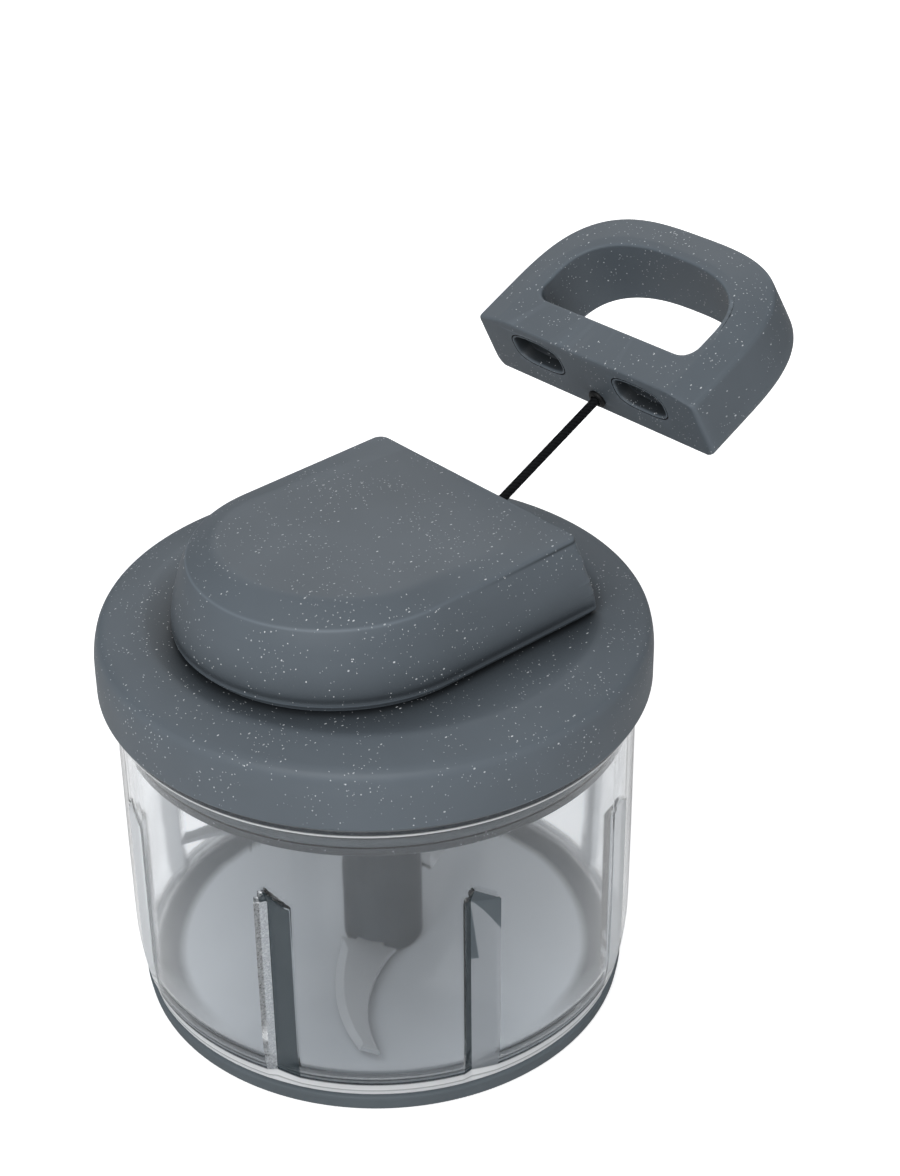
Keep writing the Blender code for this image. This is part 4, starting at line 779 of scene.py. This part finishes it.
def rib_tone(face):
    """The painted reflection tone of a bowl's face: PLAIN off the ribs, and on them by rib and
    side.
    """
    x, y, height = face.center / MM
    outward = face.normal.x * x + face.normal.y * y
    if outward < 10.0 or not RIB_FOOT < height < RIB_TIP:
        return PLAIN
    turn = (atan2(y, x) - RIB_FIRST + RIB_PITCH / 2) % (2 * pi)
    number = int(turn / RIB_PITCH)
    offset = turn - number * RIB_PITCH - RIB_PITCH / 2
    if not -RIB_STEEP < offset < RIB_SHALLOW:
        return PLAIN
    away, top = rib_top(offset)
    # The front right rib's wide side ends its tone in its material, a little below this
    spare = 0.6 if number == FRONT_RIGHT and offset > 0 else 0.0
    if height > top + spare:
        return PLAIN
    on_roof = (top - height) / (RIB_TIP - RIB_ROOF) < 1 - away
    if number == FRONT_LEFT:
        return DARK if on_roof or offset > 0 else LIGHT
    if number == FRONT_RIGHT:
        return DARK if offset < 0 else GREYED
    return PALE


def make_bowl(material, tones):
    """The bowl as one skin: underside, outside, rim, inside and centre pin."""
    outside = rounded([
        (58.6, 1.9, 0.0), (58.6, 4.8, 0.2), (61.4, 5.0, 0.6), (62.4, 9.5, 3.0),
        (63.5, 17.5, 5.0), (BOWL_OUTSIDE, 40.0, 0.0),
    ], 6)
    outside += [(BOWL_OUTSIDE, height) for height in (*COARSE_ROWS, *FINE_ROWS)]
    rim = rounded([
        (BOWL_OUTSIDE, 70.0, 0.0), (BOWL_OUTSIDE, 84.4, 0.6), (65.8, 85.5, 0.4),
        (65.8, 88.1, 0.4), (BOWL_INSIDE, 88.1, 0.4), (BOWL_INSIDE, 70.0, 0.0),
    ], 4)
    rows = (*FINE_ROWS[::-1], *COARSE_ROWS[::-1], 40.0, 22.0)
    inside = [(BOWL_INSIDE, height) for height in rows]
    inside += rounded([
        (BOWL_INSIDE, 20.0, 0.0), (61.2, 14.0, 2.0), (59.4, 8.6, 4.0), (54.0, FLOOR_INSIDE, 3.0),
        (45.0, FLOOR_INSIDE, 0.0),
    ], 6)
    pin = rounded([
        (8.0, FLOOR_INSIDE, 0.0), (3.4, FLOOR_INSIDE, 0.4), (3.4, 22.9, 0.6), (2.4, 23.9, 0.3),
        (0.8, 23.9, 0.0),
    ], 4)
    underside = [(10.0, FLOOR_UNDER), (45.0, FLOOR_UNDER), (53.0, FLOOR_UNDER), (53.0, 1.9)]
    loops = bowl_loops(underside, NO_RIB) + bowl_loops(outside, RIB_OUTER_FLOOR)
    loops += bowl_loops(rim, RIB_OUTER_FLOOR) + bowl_loops(inside, RIB_INNER_FLOOR)
    item = place("clear_bowl", skin(loops + bowl_loops(pin, NO_RIB)))
    dress(item, material, "bowl", "clear_plastic", "bowl")
    for tone in tones:
        item.data.materials.append(tone)
    for face in item.data.polygons:
        face.material_index = rib_tone(face)
    return item


# Blades and their column

BLADES = {"blade_lower": (8.8, -152.0), "blade_middle": (23.5, 8.0), "blade_upper": (41.0, 128.0)}
BLADE_ROOT = 10.5
BLADE_TIP = 52.5
BLADE_SWEEP = 15.0
BLADE_WIDTH = 15.0
TIP_WIDTH = 5.2
TONGUE_WIDTH = 3.5
TONGUE_LENGTH = 3.6
SLOT_GAP = 0.3
COLUMN_TOP = 76.4
SOCKET_RADIUS = 6.0
SOCKET_FLOOR = 64.4


def blade_edges(steps=40):
    """The curved back and front edges of a sickle blade."""
    back, front = [], []
    for i in range(steps + 1):
        share = i / steps
        x = BLADE_ROOT + (BLADE_TIP - BLADE_ROOT) * share - BLADE_SWEEP * share ** 3 / 3
        middle = BLADE_SWEEP * share ** 2
        width = BLADE_WIDTH + (TIP_WIDTH - BLADE_WIDTH) * share ** (2 / 3)
        back.append((x, middle + width / 2))
        front.append((x, middle - width / 2))
    return back, front


def make_blade(name, material):
    """A plate with a bevel along its front edge, by layers of (height, inset)."""
    height, turn = BLADES[name]
    back, front = blade_edges()
    start = BLADE_ROOT - TONGUE_LENGTH
    last = len(front) - 1
    layers = []
    for level, inset in ((0.0, 0.15), (0.25, 0.0), (1.2, 2.4)):
        outline = [(start, TONGUE_WIDTH), (start, -TONGUE_WIDTH), (BLADE_ROOT, -TONGUE_WIDTH)]
        for i, (x, y) in enumerate(front):
            share = min(i / 4, 1.0) * min((last - i) / 3 + 0.2, 1.0)
            outline.append((x, y + inset * share))
        outline += back[::-1] + [(BLADE_ROOT, TONGUE_WIDTH)]
        layers.append([mm(x, y, height + level) for x, y in outline])
    matrix = Matrix.Rotation(radians(turn), 4, "Z")
    item = place(name + "_plate", skin(layers), matrix, radians(14.0))
    return dress(item, material, "blades", "blade_steel", name)


def hexagon(radius, height):
    """A hexagon in steps of equal angle, so that it joins up with the column's circles."""
    points = []
    for i in range(COLUMN_SIDES):
        angle = 2 * pi * i / COLUMN_SIDES
        reach = radius * cos(pi / 6) / cos(angle % (pi / 3) - pi / 6)
        points.append(mm(reach * cos(angle), reach * sin(angle), height))
    return points


def rectangle(low_x, high_x, half_width, height):
    corners = ((low_x, -half_width), (high_x, -half_width), (high_x, half_width),
               (low_x, half_width))
    return [mm(x, y, height) for x, y in corners]


def make_blade_column(material):
    """A column with the pin's hole below, a hexagon socket on top and the blades' slots."""
    outer = rounded([
        (3.8, 6.2, 0.2), (9.5, 6.2, 0.6), (10.2, 7.0, 0.6), (10.2, 29.0, 0.8), (9.9, 31.5, 1.0),
        (8.6, 75.5, 0.4), (7.9, COLUMN_TOP, 0.4), (6.6, COLUMN_TOP, 0.0),
    ], 4)
    loops = [circle(radius * MM, height * MM, COLUMN_SIDES, start=0.0)
             for radius, height in [(3.8, 24.0), *outer]]
    loops += [hexagon(SOCKET_RADIUS, height) for height in (COLUMN_TOP, SOCKET_FLOOR)]
    item = place("blade_column", skin(loops))
    cutters = []
    for height, turn in BLADES.values():
        start = BLADE_ROOT - TONGUE_LENGTH - SLOT_GAP
        layers = [rectangle(start, 12.5, TONGUE_WIDTH + SLOT_GAP, z)
                  for z in (height - 0.3, height + 1.5)]
        cutters.append(place("slot", skin(layers), Matrix.Rotation(radians(turn), 4, "Z")))
    boolean(item, cutters)
    return dress(item, material, "blades", "inner_plastic", "blade_hub")


# Handle. Its own frame has the cord's hole at the origin, X away from the housing and Z up.

HANDLE_ROLL = -0.030
HANDLE_HALF_WIDTH = 38.9
HANDLE_DEPTH = 48.0
HANDLE_TOP = 15.8
HANDLE_BOTTOM = -4.5
BOTTOM_INSET = 3.4
BOTTOM_RISE = 3.9
LEFT_BELOW = -0.6
LEFT_WIDENED = 0.18
FRONT_TOP_ROUND = 0.6
FRONT_LOW_ROUND = 0.9
HOLE_HALF_WIDTH = 27.4
HOLE_SPREAD = 0.4
HOLE_DRIFT = 0.55
POCKET_ROOF = HANDLE_BOTTOM + 2.1
OVAL_HEIGHT = 8.0
KNOT_OUT = 6.2


def handle_point():
    """The handle's place along the cord's line."""
    return guide_point() + mm(CORD_OUT * cos(CORD_RISE), 0.0, CORD_OUT * sin(CORD_RISE))


def handle_matrix():
    """On the cord's line, rolled a little about it as it hangs in the hand."""
    tilt = Matrix.Rotation(-CORD_RISE, 4, "Y") @ Matrix.Rotation(HANDLE_ROLL, 4, "X")
    return Matrix.Translation(handle_point()) @ tilt


def cord_seat():
    """The handle's frame with Z along the cord."""
    return handle_matrix() @ Matrix.Rotation(pi / 2, 4, "Y")


def handle_loop(half_width, depth, height, front=0.0, curve=11.5, corner=1.2, power=3.15):
    """A D with a straight front, short straight sides and a superelliptic back from curve on."""
    inner_y = half_width - corner
    inner_x = front + corner
    half = [(front, inner_y * i / D_END) for i in range(D_END)]
    half += arc(inner_x, inner_y, corner, pi, -pi / 2)
    half += [(inner_x + (curve - inner_x) * i / 5, half_width) for i in range(1, 5)]
    spans = 44
    for i in range(spans):
        angle = pi / 2 * i / spans
        x = curve + (depth - curve) * sin(angle) ** (2 / power)
        half.append((x, half_width * cos(angle) ** (2 / power)))
    half.append((depth, 0.0))
    mirrored = [(x, -y) for x, y in reversed(half[1:-1])]
    return [mm(x, y, height) for x, y in half + mirrored]


def finger_loop(grow, height):
    """The finger hole's edge, a little wider below than above."""
    middle = (HANDLE_TOP + HANDLE_BOTTOM) / 2
    down = (middle - height) / (HANDLE_TOP - middle)
    width = HOLE_HALF_WIDTH + HOLE_SPREAD * down + grow
    loop = handle_loop(width, 37.1 + grow, height, 11.2 - grow, 19.5, 4.5, 2.6)
    return [point + mm(0.0, HOLE_DRIFT * (down - 0.4), 0.0) for point in loop]


def front_round(height):
    """The front face's small rounding where it meets the top and the underside."""
    inset = 0.0
    for into, size in ((height - (HANDLE_TOP - FRONT_TOP_ROUND), FRONT_TOP_ROUND),
                       (HANDLE_BOTTOM + FRONT_LOW_ROUND - height, FRONT_LOW_ROUND)):
        share = min(max(into / size, 0.0), 1.0)
        inset += size * (1 - sqrt(1 - share * share))
    return inset


def make_handle(material):
    outer = []
    steps = 9
    for i in range(steps + 1):
        angle = pi / 2 * i / steps
        inset = BOTTOM_INSET * (1 - sin(angle))
        rise = BOTTOM_RISE * (1 - cos(angle))
        outer.append((HANDLE_HALF_WIDTH - inset, HANDLE_DEPTH - inset, HANDLE_BOTTOM + rise))
    outer += rounded([
        (38.8, 47.9, 2.5, 0.0),
        (38.3, 47.4, 13.3, 1.0),
        (37.6, 46.65, 14.12, 0.9),
        (30.3, 39.4, HANDLE_TOP, 1.4),
        (29.6, 38.9, HANDLE_TOP, 0.0),
    ], 6)
    loops = []
    for width, depth, height in outer:
        loop = handle_loop(width, depth, height, front_round(height))
        if height < LEFT_BELOW:
            widened = 1 + max(HANDLE_HALF_WIDTH - width, 0.0) * LEFT_WIDENED / width
            for point in loop:
                point.y *= widened if point.y > 0 else 1.0
        loops.append(loop)
    hole = rounded([
        (1.5, HANDLE_TOP, 0.0), (0.0, HANDLE_TOP, 0.9), (0.0, HANDLE_BOTTOM, 1.2),
        (1.0, HANDLE_BOTTOM, 0.0),
    ], 6)
    loops += [finger_loop(grow, height) for grow, height in hole]
    loops += [finger_loop(1.8, height) for height in (HANDLE_BOTTOM, POCKET_ROOF)]
    loops += [handle_loop(34.9, 44.0, height, 3.0) for height in (POCKET_ROOF, HANDLE_BOTTOM)]
    item = place("handle_ring", skin(loops, ring=True), handle_matrix())
    for side in (1, -1):
        boolean(item, oval_cuts(side))
    boolean(item, [turned("cord_hole", [(2.5, -3.0), (2.5, 2.5)], 40, matrix=cord_seat())])
    boolean(item, [turned("cord_way", [(1.5, 1.0), (1.5, KNOT_OUT)], 32, matrix=cord_seat())])
    boolean(item, [turned("knot_pocket", [(2.9, -3.4), (2.9, 2.9)], 32, spot=(KNOT_OUT * MM, 0.0),
                          matrix=handle_matrix())])
    return dress(item, material, "handle", "body_plastic", "handle_upper")


def oval_cuts(side):
    """An oval recess in the handle's face, and the fine groove round its lip."""
    spot = mm(0.0, side * DOCK_SIDE, OVAL_HEIGHT)
    matrix = handle_matrix() @ Matrix.Translation(spot)
    groove = [(9.15, 5.35, -1.0), (9.15, 5.35, 0.55), (8.8, 5.0, 0.55), (8.8, 5.0, -1.0)]
    recess = [(8.75, 4.95, -0.5), (8.3, 4.5, 0.3), (8.2, 4.4, 1.0), (7.9, 4.1, 3.3),
              (7.4, 3.6, 3.6)]
    return [oval("oval_groove", groove, matrix, ring=True), oval("oval_recess", recess, matrix)]


def make_handle_cover(material):
    top = POCKET_ROOF - 0.3
    edge = HANDLE_BOTTOM + 0.3
    loops = [
        handle_loop(34.3, 43.4, HANDLE_BOTTOM, 3.6),
        handle_loop(34.6, 43.7, edge, 3.3),
        handle_loop(34.6, 43.7, top, 3.3),
        finger_loop(2.1, top),
        finger_loop(2.1, edge),
        finger_loop(2.4, HANDLE_BOTTOM),
    ]
    item = place("handle_cover", skin(loops, ring=True), handle_matrix())
    hole = [(2.6, -6.0), (2.6, -3.1), (1.6, -3.1), (1.6, 0.0)]
    boolean(item, [turned("hole", hole, 32, spot=(0.0063, side * 0.0293), matrix=handle_matrix())
                   for side in (1, -1)])
    return dress(item, material, "handle", "body_plastic", "handle_lower")


def make_collar(material):
    profile = rounded([
        (1.48, -1.0, 0.15), (2.2, -1.0, 0.2), (2.6, -0.6, 0.2), (2.6, -0.3, 0.0),
        (2.18, -0.3, 0.0), (2.18, 2.2, 0.0), (1.48, 2.2, 0.0),
    ], 4)
    item = turned("cord_ferrule", profile, 48, ring=True, matrix=cord_seat())
    return dress(item, material, "handle", "guide_plastic", "cord_collar")


# Screws

def make_screw(node, material, body, matrix, length):
    """Pan head screw with a cross recess; its matrix is at the seat under the head."""
    profile = rounded([
        (1.9, -1.35, 0.3), (2.3, -0.7, 0.4), (2.3, 0.0, 0.0), (1.2, 0.0, 0.0),
        (1.2, length - 1.4, 0.0), (0.3, length, 0.0),
    ], 3)
    item = turned(node + "_head", profile, 32, matrix=matrix)
    cutters = []
    for turn in (0.0, pi / 2):
        loops = [rectangle(-1.3, 1.3, 0.26, height) for height in (-2.0, -0.75)]
        cutters.append(place("cross", skin(loops), matrix @ Matrix.Rotation(turn, 4, "Z")))
    boolean(item, cutters)
    return dress(item, material, body, "spring_steel", node)


def make_screws(material):
    length = 8.0
    for i, (x, y) in enumerate(screw_spots()):
        at = Matrix.Translation(Vector((x, y, SCREW_SEAT * MM)))
        make_screw(f"cover_screw_{i + 1}", material, "lid", at, length)
    for i, side in enumerate((1, -1)):
        at = handle_matrix() @ Matrix.Translation(mm(6.3, side * 29.3, -3.4))
        make_screw(f"handle_screw_{i + 1}", material, "handle", at, length)


# Cord

def between(start, end, step):
    """Points strictly between two, about a step apart."""
    count = max(int((end - start).length / step), 1)
    return [start.lerp(end, i / count) for i in range(1, count)]


def cord_route():
    """From the spool's drum, round the guide's throat and straight to the knot in the handle."""
    drum_radius = 17.4
    throat_depth = 2.4
    bend_length = 3.2
    steps = 8
    turn_radius = drum_radius + 0.3 + CORD_RADIUS
    lean = Vector((cos(HOUSING_LEAN), 0.0, sin(HOUSING_LEAN)))
    bend = guide_point() / MM - lean * throat_depth
    bend.z = CORD_HEIGHT - throat_depth * tan(CORD_RISE)
    tangent = atan2(bend.y, bend.x) + acos(turn_radius / sqrt(bend.x ** 2 + bend.y ** 2))
    wrap = radians(50.0)
    points = [Vector((x, y, bend.z)) for x, y in arc(0.0, 0.0, turn_radius, tangent + wrap, -wrap)]
    out = handle_point() / MM
    start = bend + (points[-1] - bend).normalized() * bend_length
    end = bend + (out - bend).normalized() * bend_length
    points += between(points[-1], start, 1.5)
    points += [curve_point(start, bend, end, i / steps) for i in range(steps + 1)]
    stop = out + Vector((cos(CORD_RISE), 0.0, sin(CORD_RISE))) * (KNOT_OUT - 2.7)
    points += between(end, stop, 0.6)
    points.append(stop)
    return [point * MM for point in points]


def make_cord(material):
    """A tube with low twisted ridges, so that its braid shows at the edge too."""
    ridge_height = 0.035
    strands = 4
    twist_rate = 1.6
    sides = 24
    route = cord_route()
    rows = []
    travelled = 0.0
    for i, point in enumerate(route):
        before = route[max(i - 1, 0)]
        after = route[min(i + 1, len(route) - 1)]
        along = (after - before).normalized()
        side = along.cross(Vector((0.0, 0.0, 1.0))).normalized()
        top = side.cross(along).normalized()
        travelled += (point - before).length
        twist = travelled / MM * twist_rate
        row = []
        for k in range(sides):
            angle = 2 * pi * k / sides
            crossing = cos(strands * angle + twist) * cos(strands * angle - twist)
            reach = (CORD_RADIUS - 0.04 + ridge_height * crossing) * MM
            row.append(point + side * reach * cos(angle) + top * reach * sin(angle))
        rows.append(row)
    item = place("cord_run", skin(rows))
    item.data.materials.append(material)
    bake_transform(item)
    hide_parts("pull_cord")
    return item


def repaint(names, material):
    """Give CAD nodes that stay a finished material."""
    for name in names:
        paint(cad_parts[name], material)


# The studio

def make_camera():
    data = bpy.data.cameras.new("camera")
    data.lens = CAMERA_LENS
    data.sensor_width = SENSOR_WIDTH
    data.clip_start = 0.01
    data.clip_end = 20.0
    camera = new_object("camera", data)
    level = cos(CAMERA_TILT)
    forward = Vector((sin(CAMERA_PAN) * level, cos(CAMERA_PAN) * level, -sin(CAMERA_TILT)))
    right = Vector((cos(CAMERA_PAN), -sin(CAMERA_PAN), 0.0))
    up = right.cross(forward)
    side = right * cos(CAMERA_ROLL) + up * sin(CAMERA_ROLL)
    top = up * cos(CAMERA_ROLL) - right * sin(CAMERA_ROLL)
    axes = Matrix((side, top, -forward)).transposed().to_4x4()
    turn = Matrix.Rotation(-CAMERA_TURN, 4, "Z")
    stand = Matrix.Translation((0.0, -CAMERA_DISTANCE, CAMERA_HEIGHT))
    camera.matrix_world = turn @ stand @ axes
    bpy.context.scene.camera = camera


def make_light(name, power, azimuth, elevation):
    data = bpy.data.lights.new(name, "AREA")
    data.shape = "SQUARE"
    data.size = LAMP_SIZE
    data.energy = power
    lamp = new_object(name, data)
    azimuth, elevation = radians(azimuth), radians(elevation)
    level = cos(elevation)
    offset = Vector((cos(azimuth) * level, sin(azimuth) * level, sin(elevation))) * LAMP_DISTANCE
    lamp.location = Vector(LAMP_TARGET) + offset
    lamp.rotation_euler = (-offset).to_track_quat("-Z", "Y").to_euler()


def seen_or_lit(nodes, seen, lit):
    """One shader where the camera or clear plastic sees it, another where it lights."""
    path = nodes.add("LightPath")
    direct = nodes.math("MAXIMUM", path["Is Camera Ray"], path["Is Transmission Ray"])
    return nodes.finish(nodes.over(direct, lit, seen))


def dimmed_through_plastic(nodes, share):
    """1, less a share where clear plastic sees it."""
    return nodes.add_to(nodes.add("LightPath")["Is Transmission Ray"], -share, 1.0)


def make_world():
    """White where it is seen, and faint where it lights the object."""
    nodes = Nodes("studio", world=True)
    nodes.set(nodes.shader, Color=(0.97, 0.985, 1.0, 1.0), Strength=0.085)
    seen = nodes.add("Background", (1.0, 1.0, 1.0, 1.0), dimmed_through_plastic(nodes, 0.16))[0]
    bpy.context.scene.world = seen_or_lit(nodes, seen, nodes.shader.outputs[0])


def make_floor():
    """A wide pale floor, which glows up to white away from the object where it is seen."""
    loops = [circle(radius, 0.0, FLOOR_SIDES, start=0.0) for radius in (0.0005, 0.4, 2.5)]
    floor = place("floor", skin(loops, cap_last=False))
    floor.location.z = -0.0002
    nodes = Nodes("floor_paint")
    nodes.set(nodes.shader, Base_Color=(0.90, 0.90, 0.90, 1.0), Roughness=0.9,
              Specular_IOR_Level=0.1)
    radius, _ = nodes.radius_and_height()
    strength = nodes.add_to(nodes.fade(radius, 120.0, 400.0), 0.30, 0.72)
    strength = nodes.product(strength, dimmed_through_plastic(nodes, 0.28))
    glow = nodes.add("Emission", Strength=strength)[0]
    both = nodes.add("AddShader", glow, nodes.matt((0.80, 0.81, 0.82, 1.0)))[0]
    floor.data.materials.append(seen_or_lit(nodes, both, nodes.shader.outputs[0]))


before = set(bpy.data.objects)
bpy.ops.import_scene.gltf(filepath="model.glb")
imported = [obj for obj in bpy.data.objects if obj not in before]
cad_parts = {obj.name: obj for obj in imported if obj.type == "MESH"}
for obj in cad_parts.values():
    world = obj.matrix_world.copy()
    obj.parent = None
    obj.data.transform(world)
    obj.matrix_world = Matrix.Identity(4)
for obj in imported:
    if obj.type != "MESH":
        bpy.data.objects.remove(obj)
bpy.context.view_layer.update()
bpy.context.scene.view_settings.view_transform = "Standard"
make_camera()
make_world()
for lamp_name, lamp in LAMPS.items():
    make_light(lamp_name, *lamp)
make_floor()

grey = speckled_plastic("speckled_grey_plastic")
# The housing's copy adds painted highlight lines along its crease and lip, and a painted shade
# line
housing_grey = speckled_plastic("speckled_housing_plastic", HOUSING_LINES)
foot_grey = plain_plastic("soft_foot_rubber", colour(99, 108, 114), 0.72, 1500.0, 0.3)
clear = clear_plastic()
silicone = plain_plastic("seal_silicone_finish", colour(88, 96, 102), 0.5)
inner = plain_plastic("inner_plastic_finish", colour(76, 85, 92), 0.5)
black = plain_plastic("guide_plastic_finish", colour(12, 14, 16), 0.55)
steel = metal("blade_steel_finish", (0.44, 0.46, 0.48), 0.6, (1.0, 8.0, 1.0))
bright = metal("spring_steel_finish", (0.55, 0.56, 0.57), 0.25, (1.0, 1.0, 10.0))
brass = metal("bush_brass_finish", (0.72, 0.54, 0.27), 0.25, (1.0, 1.0, 10.0))
braid = braided_cord()

make_lid(grey)
make_housing(housing_grey)
make_seal(silicone)
make_foot(foot_grey)
# The ribs' sides get painted reflections: dark, light, grey with painted shade at its top, and
# pale
make_bowl(clear, [
    rib_plastic("rib_side_painted_dark_reflection", (0.035, 0.050, 0.058, 1.0), 0.80),
    rib_plastic("rib_side_painted_light_reflection", (0.62, 0.65, 0.68, 1.0), 0.45, 0.25),
    rib_plastic("rib_side_painted_grey_reflection", (0.32, 0.345, 0.37, 1.0), 0.5, shadowed=FRONT_RIGHT),
    rib_plastic("rib_side_painted_pale_reflection", (0.94, 0.97, 1.0, 1.0), 0.78),
])
make_blade_column(plain_plastic("column_plastic_finish", colour(69, 77, 84), 0.6, 1500.0, 0.05))
for blade_name in BLADES:
    make_blade(blade_name, steel)
make_cover(inner)
make_guide(black)
make_screws(bright)
make_handle(grey)
make_handle_cover(grey)
make_collar(black)
make_cord(braid)
repaint(["cord_winding", "cord_knot"], braid)
repaint(["cord_spool", "drive_hub"], inner)
repaint(["hub_bush", "clutch_pawl_1", "clutch_pawl_2", "clutch_pawl_3"], brass)
repaint(["spool_axle", "recoil_spring", "housing_screw_1", "housing_screw_2", "housing_screw_3"],
        bright)

bpy.context.view_layer.update()
